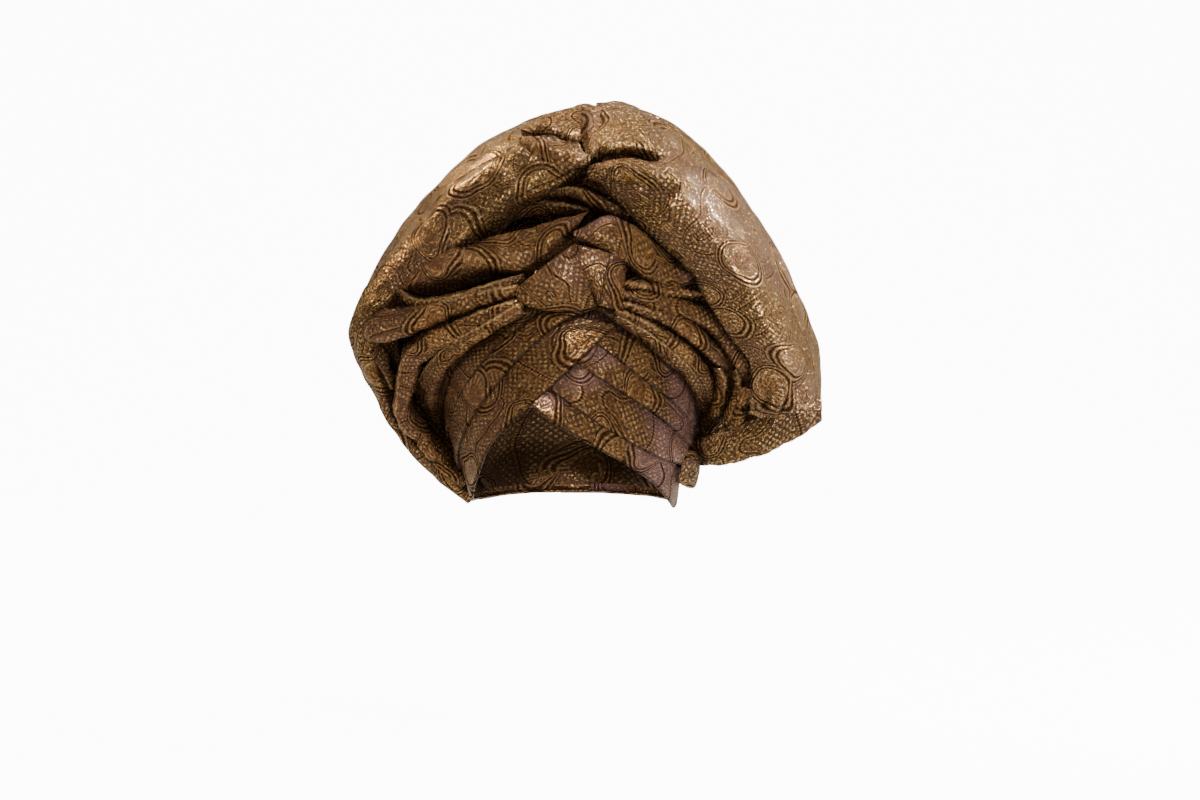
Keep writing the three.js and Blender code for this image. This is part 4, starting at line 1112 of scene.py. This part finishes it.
# A fold's columns, from the pinch down
FAN_LEFT_FRONT = [
    [2, -62, 134, 12, -86, 115, 2], [-22, -62, 135, -8, -90, 102, 4], [-38, -65, 129, -28, -93, 94, 5],
    [-54, -65, 120, -46, -95, 85, 6], [-70, -63, 111, -60, -95, 74, 7],
    [-87, -59, 100, -78, -95, 59, 8], [-105, -53, 81, -98, -92, 45, 8],
    [-123, -46, 57, -116, -86, 37, 8], [-140, -38, 32, -130, -79, 22, 8],
    [-156, -28, 7, -145, -70, 7, 6], [-164, -20, -12, -151, -60, -8, 4],
    [-160, -14, -32, -149, -46, -28, 3], [-151, -8, -54, -143, -26, -50, 1],
    [-143, 0, -76, -136, -9, -73, 0], [-130, 8, -97, -123, 1, -94, 0],
    [-114, 20, -117, -108, 13, -114, 0], [-98, 34, -133, -93, 27, -130, 0],
    [-82, 46, -147, -78, 40, -144, 0],
]

# Four places x y z from the front edge over the rim to the far edge; pinch to bottom
FAN_LEFT_BACK = [
    [40, -62, 138, 42, 8, 153, 36, 75, 131, 22, 121, 60],
    [14, -64, 138, 12, 8, 156, 10, 75, 135, 6, 121, 60],
    [-12, -62, 134, -12, 8, 155, -10, 78, 134, -2, 123, 58],
    [-40, -62, 122, -42, 8, 145, -34, 82, 124, -14, 123, 50],
    [-64, -60, 107, -71, 8, 129, -58, 84, 108, -26, 121, 38],
    [-87, -55, 92, -97, 8, 106, -80, 84, 86, -36, 119, 24],
    [-106, -49, 73, -119, 8, 81, -99, 84, 63, -44, 117, 6],
    [-124, -42, 50, -138, 8, 56, -115, 82, 38, -50, 114, -14],
    [-140, -35, 26, -152, 8, 30, -127, 80, 14, -53, 111, -34],
    [-153, -28, 2, -164, 8, 6, -136, 78, -10, -53, 107, -54],
    [-158, -24, -14, -170, 8, -14, -138, 74, -32, -50, 104, -72],
    [-156, -10, -35, -162, 12, -36, -132, 70, -54, -45, 101, -88],
    [-145, 10, -60, -147, 20, -62, -122, 66, -76, -39, 97, -102],
    [-129, 18, -90, -130, 28, -92, -108, 66, -100, -32, 94, -114],
    [-111, 30, -113, -110, 40, -116, -90, 68, -120, -25, 91, -122],
    [-90, 46, -134, -86, 54, -139, -68, 70, -138, -18, 88, -130],
]

# Four places x y z: front edge, swell, rim, far edge; one row per place, pinch to bottom
FAN_RIGHT_FRONT = [
    [10, -88, 101, 22, -98, 112, 38, -5, 160, 34, 45, 152],
    [24, -92, 93, 48, -106, 113, 62, 0, 153, 57, 50, 142],
    [40, -95, 82, 70, -110, 100, 86, 5, 140, 79, 55, 128],
    [56, -97, 67, 87, -112, 84, 109, 8, 119, 99, 58, 108],
    [72, -96, 51, 103, -112, 66, 130, 8, 92, 118, 60, 84],
    [88, -93, 35, 119, -108, 44, 150, 10, 62, 136, 62, 57],
    [98, -88, 18, 133, -102, 20, 167, 10, 31, 152, 62, 28],
    [109, -82, 0, 145, -94, -4, 180, 10, 0, 164, 60, 0],
    [121, -76, -17, 154, -84, -26, 189, 8, -28, 173, 55, -26],
    [134, -70, -34, 161, -74, -46, 191, 5, -50, 175, 48, -46],
    [139, -66, -52, 165, -66, -62, 190, 0, -68, 174, 40, -62],
    [135, -60, -69, 164, -58, -75, 187, -5, -77, 172, 30, -74],
]

# Four places x y z from the rim to the middle of the back; pinch to bottom
FAN_RIGHT_BACK = [
    [32, 35, 149, 20, 84, 134, 10, 112, 96, 4, 126, 50],
    [55, 38, 139, 40, 92, 122, 22, 118, 86, 9, 128, 44],
    [77, 42, 126, 60, 98, 108, 34, 124, 74, 14, 130, 36],
    [96, 44, 107, 78, 100, 90, 46, 126, 58, 20, 130, 26],
    [115, 44, 83, 94, 100, 68, 56, 126, 38, 25, 129, 12],
    [133, 44, 57, 109, 98, 43, 64, 124, 16, 29, 127, -4],
    [149, 42, 29, 122, 94, 18, 70, 120, -6, 31, 124, -22],
    [161, 40, 1, 131, 90, -6, 74, 116, -28, 32, 121, -40],
    [169, 34, -27, 136, 84, -32, 75, 112, -48, 31, 118, -58],
    [170, 26, -48, 136, 76, -54, 74, 106, -66, 29, 115, -74],
    [168, 18, -66, 132, 66, -74, 70, 100, -84, 27, 111, -90],
    [166, 6, -82, 126, 48, -94, 68, 88, -100, 26, 105, -106],
]

# A fold's columns, from the corner outwards
FOLD_RIGHT_LOW = [
    [88, -22, -98, 92, -14, -112, 1], [104, -32, -88, 106, -22, -112, 2],
    [121, -42, -80, 122, -32, -109, 3], [138, -50, -74, 138, -42, -104, 3],
    [153, -56, -68, 153, -48, -97, 3], [170, -58, -64, 170, -54, -87, 2],
    [185, -56, -64, 186, -54, -76, 1],
]

# Four places x y z from the top down; one row per place from left to right
DRAPE_BACK = [
    [-62, 119, 66, -72, 117, 0, -54, 108, -70, -14, 99, -118],
    [-30, 129, 79, -37, 129, 6, -29, 121, -64, -6, 107, -118],
    [4, 133, 82, 0, 134, 8, 0, 126, -62, 2, 110, -118],
    [30, 132, 71, 37, 131, 4, 29, 122, -64, 10, 107, -118],
    [46, 129, 50, 58, 125, 0, 48, 113, -68, 18, 100, -118],
]

# Middle x y z, three half-widths and depth of each hollow in the right front, in mm
DENTS_RIGHT = [
    [50, -86, 122, 30, 26, 9, 15], [140, -70, -50, 16, 16, 12, 7], [168, -60, -52, 10, 16, 9, 6],
]


def rows_of(rows):
    """A fan table's rows hold four places each."""
    return np.asarray(rows, float).reshape(len(rows), 4, 3)


def shouldered(rows):
    """One more place in each row, halfway from the swell to the rim, pushed out by a share of that way."""
    swell, rim = rows[:, 1], rows[:, 2]
    way = rim - swell
    out = unit(np.cross(heading(rim), way)) * np.linalg.norm(way, axis=1, keepdims=True) * SHOULDER_SHARE
    return np.concatenate([rows[:, :2], ((swell + rim) / 2 + out)[:, None], rows[:, 2:]], 1)


# The left roll is gathered at the pinch
front = fold(FAN_LEFT_FRONT, lip=3.4, tuck_up=12, tuck_low=24, along=220, across=84)
front = gather(crumple(front, 1.3, 61, 60), 2.0, 4, 71)
make_sheet("fan_left_front", front, "brocade_light", lip=0.5)

fan = relax(loft(rows_of(FAN_LEFT_BACK), 180, 110), 40)
make_sheet("fan_left_back", crumple(fan, 1.3, 63, 80, 0.35), "brocade_light")

# The right front is gathered at the pinch and again at its lower end, and its two free edges are rolled
fan = relax(loft(shouldered(rows_of(FAN_RIGHT_FRONT)), 180, 120), 200)
fan = gather(crumple(fan, 1.2, 62, 80, 0.35), 2.2, 5, 72)
fan = gather(fan, 3.2, 8, 73, at_start=False, reach=0.2)
fan = roll_edge(press(fan, DENTS_RIGHT), FRONT_ROLL_MM)
lines = np.swapaxes(fan, 0, 1)[:, ::-1]
fan = np.swapaxes(roll_edge(lines, END_ROLL_MM)[:, ::-1], 0, 1)
make_sheet("fan_right_front", fan, "brocade_light")

fan = crumple(loft(rows_of(FAN_RIGHT_BACK), 150, 80), 2.2, 64, 64, 0.35)
make_sheet("fan_right_back", fan, "brocade_light")

make_fold("fold_right_low", FOLD_RIGHT_LOW, 1.4, 66, 30, "brocade_light",
          lip=2, tuck_up=8, tuck_low=16, along=120, across=40)
drape = crumple(loft(rows_of(DRAPE_BACK), 80, 84), 1.6, 65, 40)
make_sheet("drape_back", drape, "brocade_light")
print("pieces:", len(made_pieces))

# %% [markdown]
# ## How closely the cloth lies together
#
# Between the folds a real gele is almost black, deeper than the lights alone can make it, because the
# cloth swallows light that goes from one fold to the next. So each sheet learns how much other cloth lies
# just in front of it. The material paints shade there: darker colour, and no shine on the thread.

# %% Crowding
CELL_MM = 4
MARGIN_CELLS = 8         # empty cells round the tie, so that no blur and no look outwards leaves the room
BLUR_ROUNDS = 5
LOOK_OUT_MM = 9
EVEN_ROUNDS = 12         # how often the result is smoothed over the sheet
CROWDED = (0.21, 0.46)   # the blurred count where the darkening starts, and where it is full


def crowding(grids):
    """For each sheet 0 where its outer side lies open, 1 where other cloth lies close in front of it.

    The room is cut into cells. A cell that holds cloth counts 1, and the counts are blurred by averaging
    each cell with its two neighbours along each axis, several times over. The blurred count is read a
    little way out from the sheet along its normal.
    """
    places = np.concatenate([grid.reshape(-1, 3) for grid in grids])
    margin = MARGIN_CELLS * CELL_MM
    low = places.min(0) - margin
    cells = ((places.max(0) + margin - low) / CELL_MM).astype(int) + 1
    cloth = np.zeros(cells)
    cloth[tuple(((places - low) / CELL_MM).astype(int).T)] = 1
    for axis in (0, 1, 2) * BLUR_ROUNDS:
        cloth = (np.roll(cloth, 1, axis) + 2 * cloth + np.roll(cloth, -1, axis)) / 4
    found = []
    for grid in grids:
        at = ((grid + outward(grid) * LOOK_OUT_MM - low) / CELL_MM).astype(int)
        crowd = smooth(cloth[tuple(np.moveaxis(at, -1, 0))], EVEN_ROUNDS)
        share = np.clip((crowd - CROWDED[0]) / (CROWDED[1] - CROWDED[0]), 0, 1)
        found.append(share * share * (3 - 2 * share))
    return found


# Each sheet keeps its crowding as the amount of painted shade that the materials put on it
for (name, piece), nook in zip(made_pieces.items(), crowding(list(made_grids.values()))):
    keep(piece.data, "nook", nook.ravel())
    print(name, "crowded share", round(float(nook.mean()), 2))
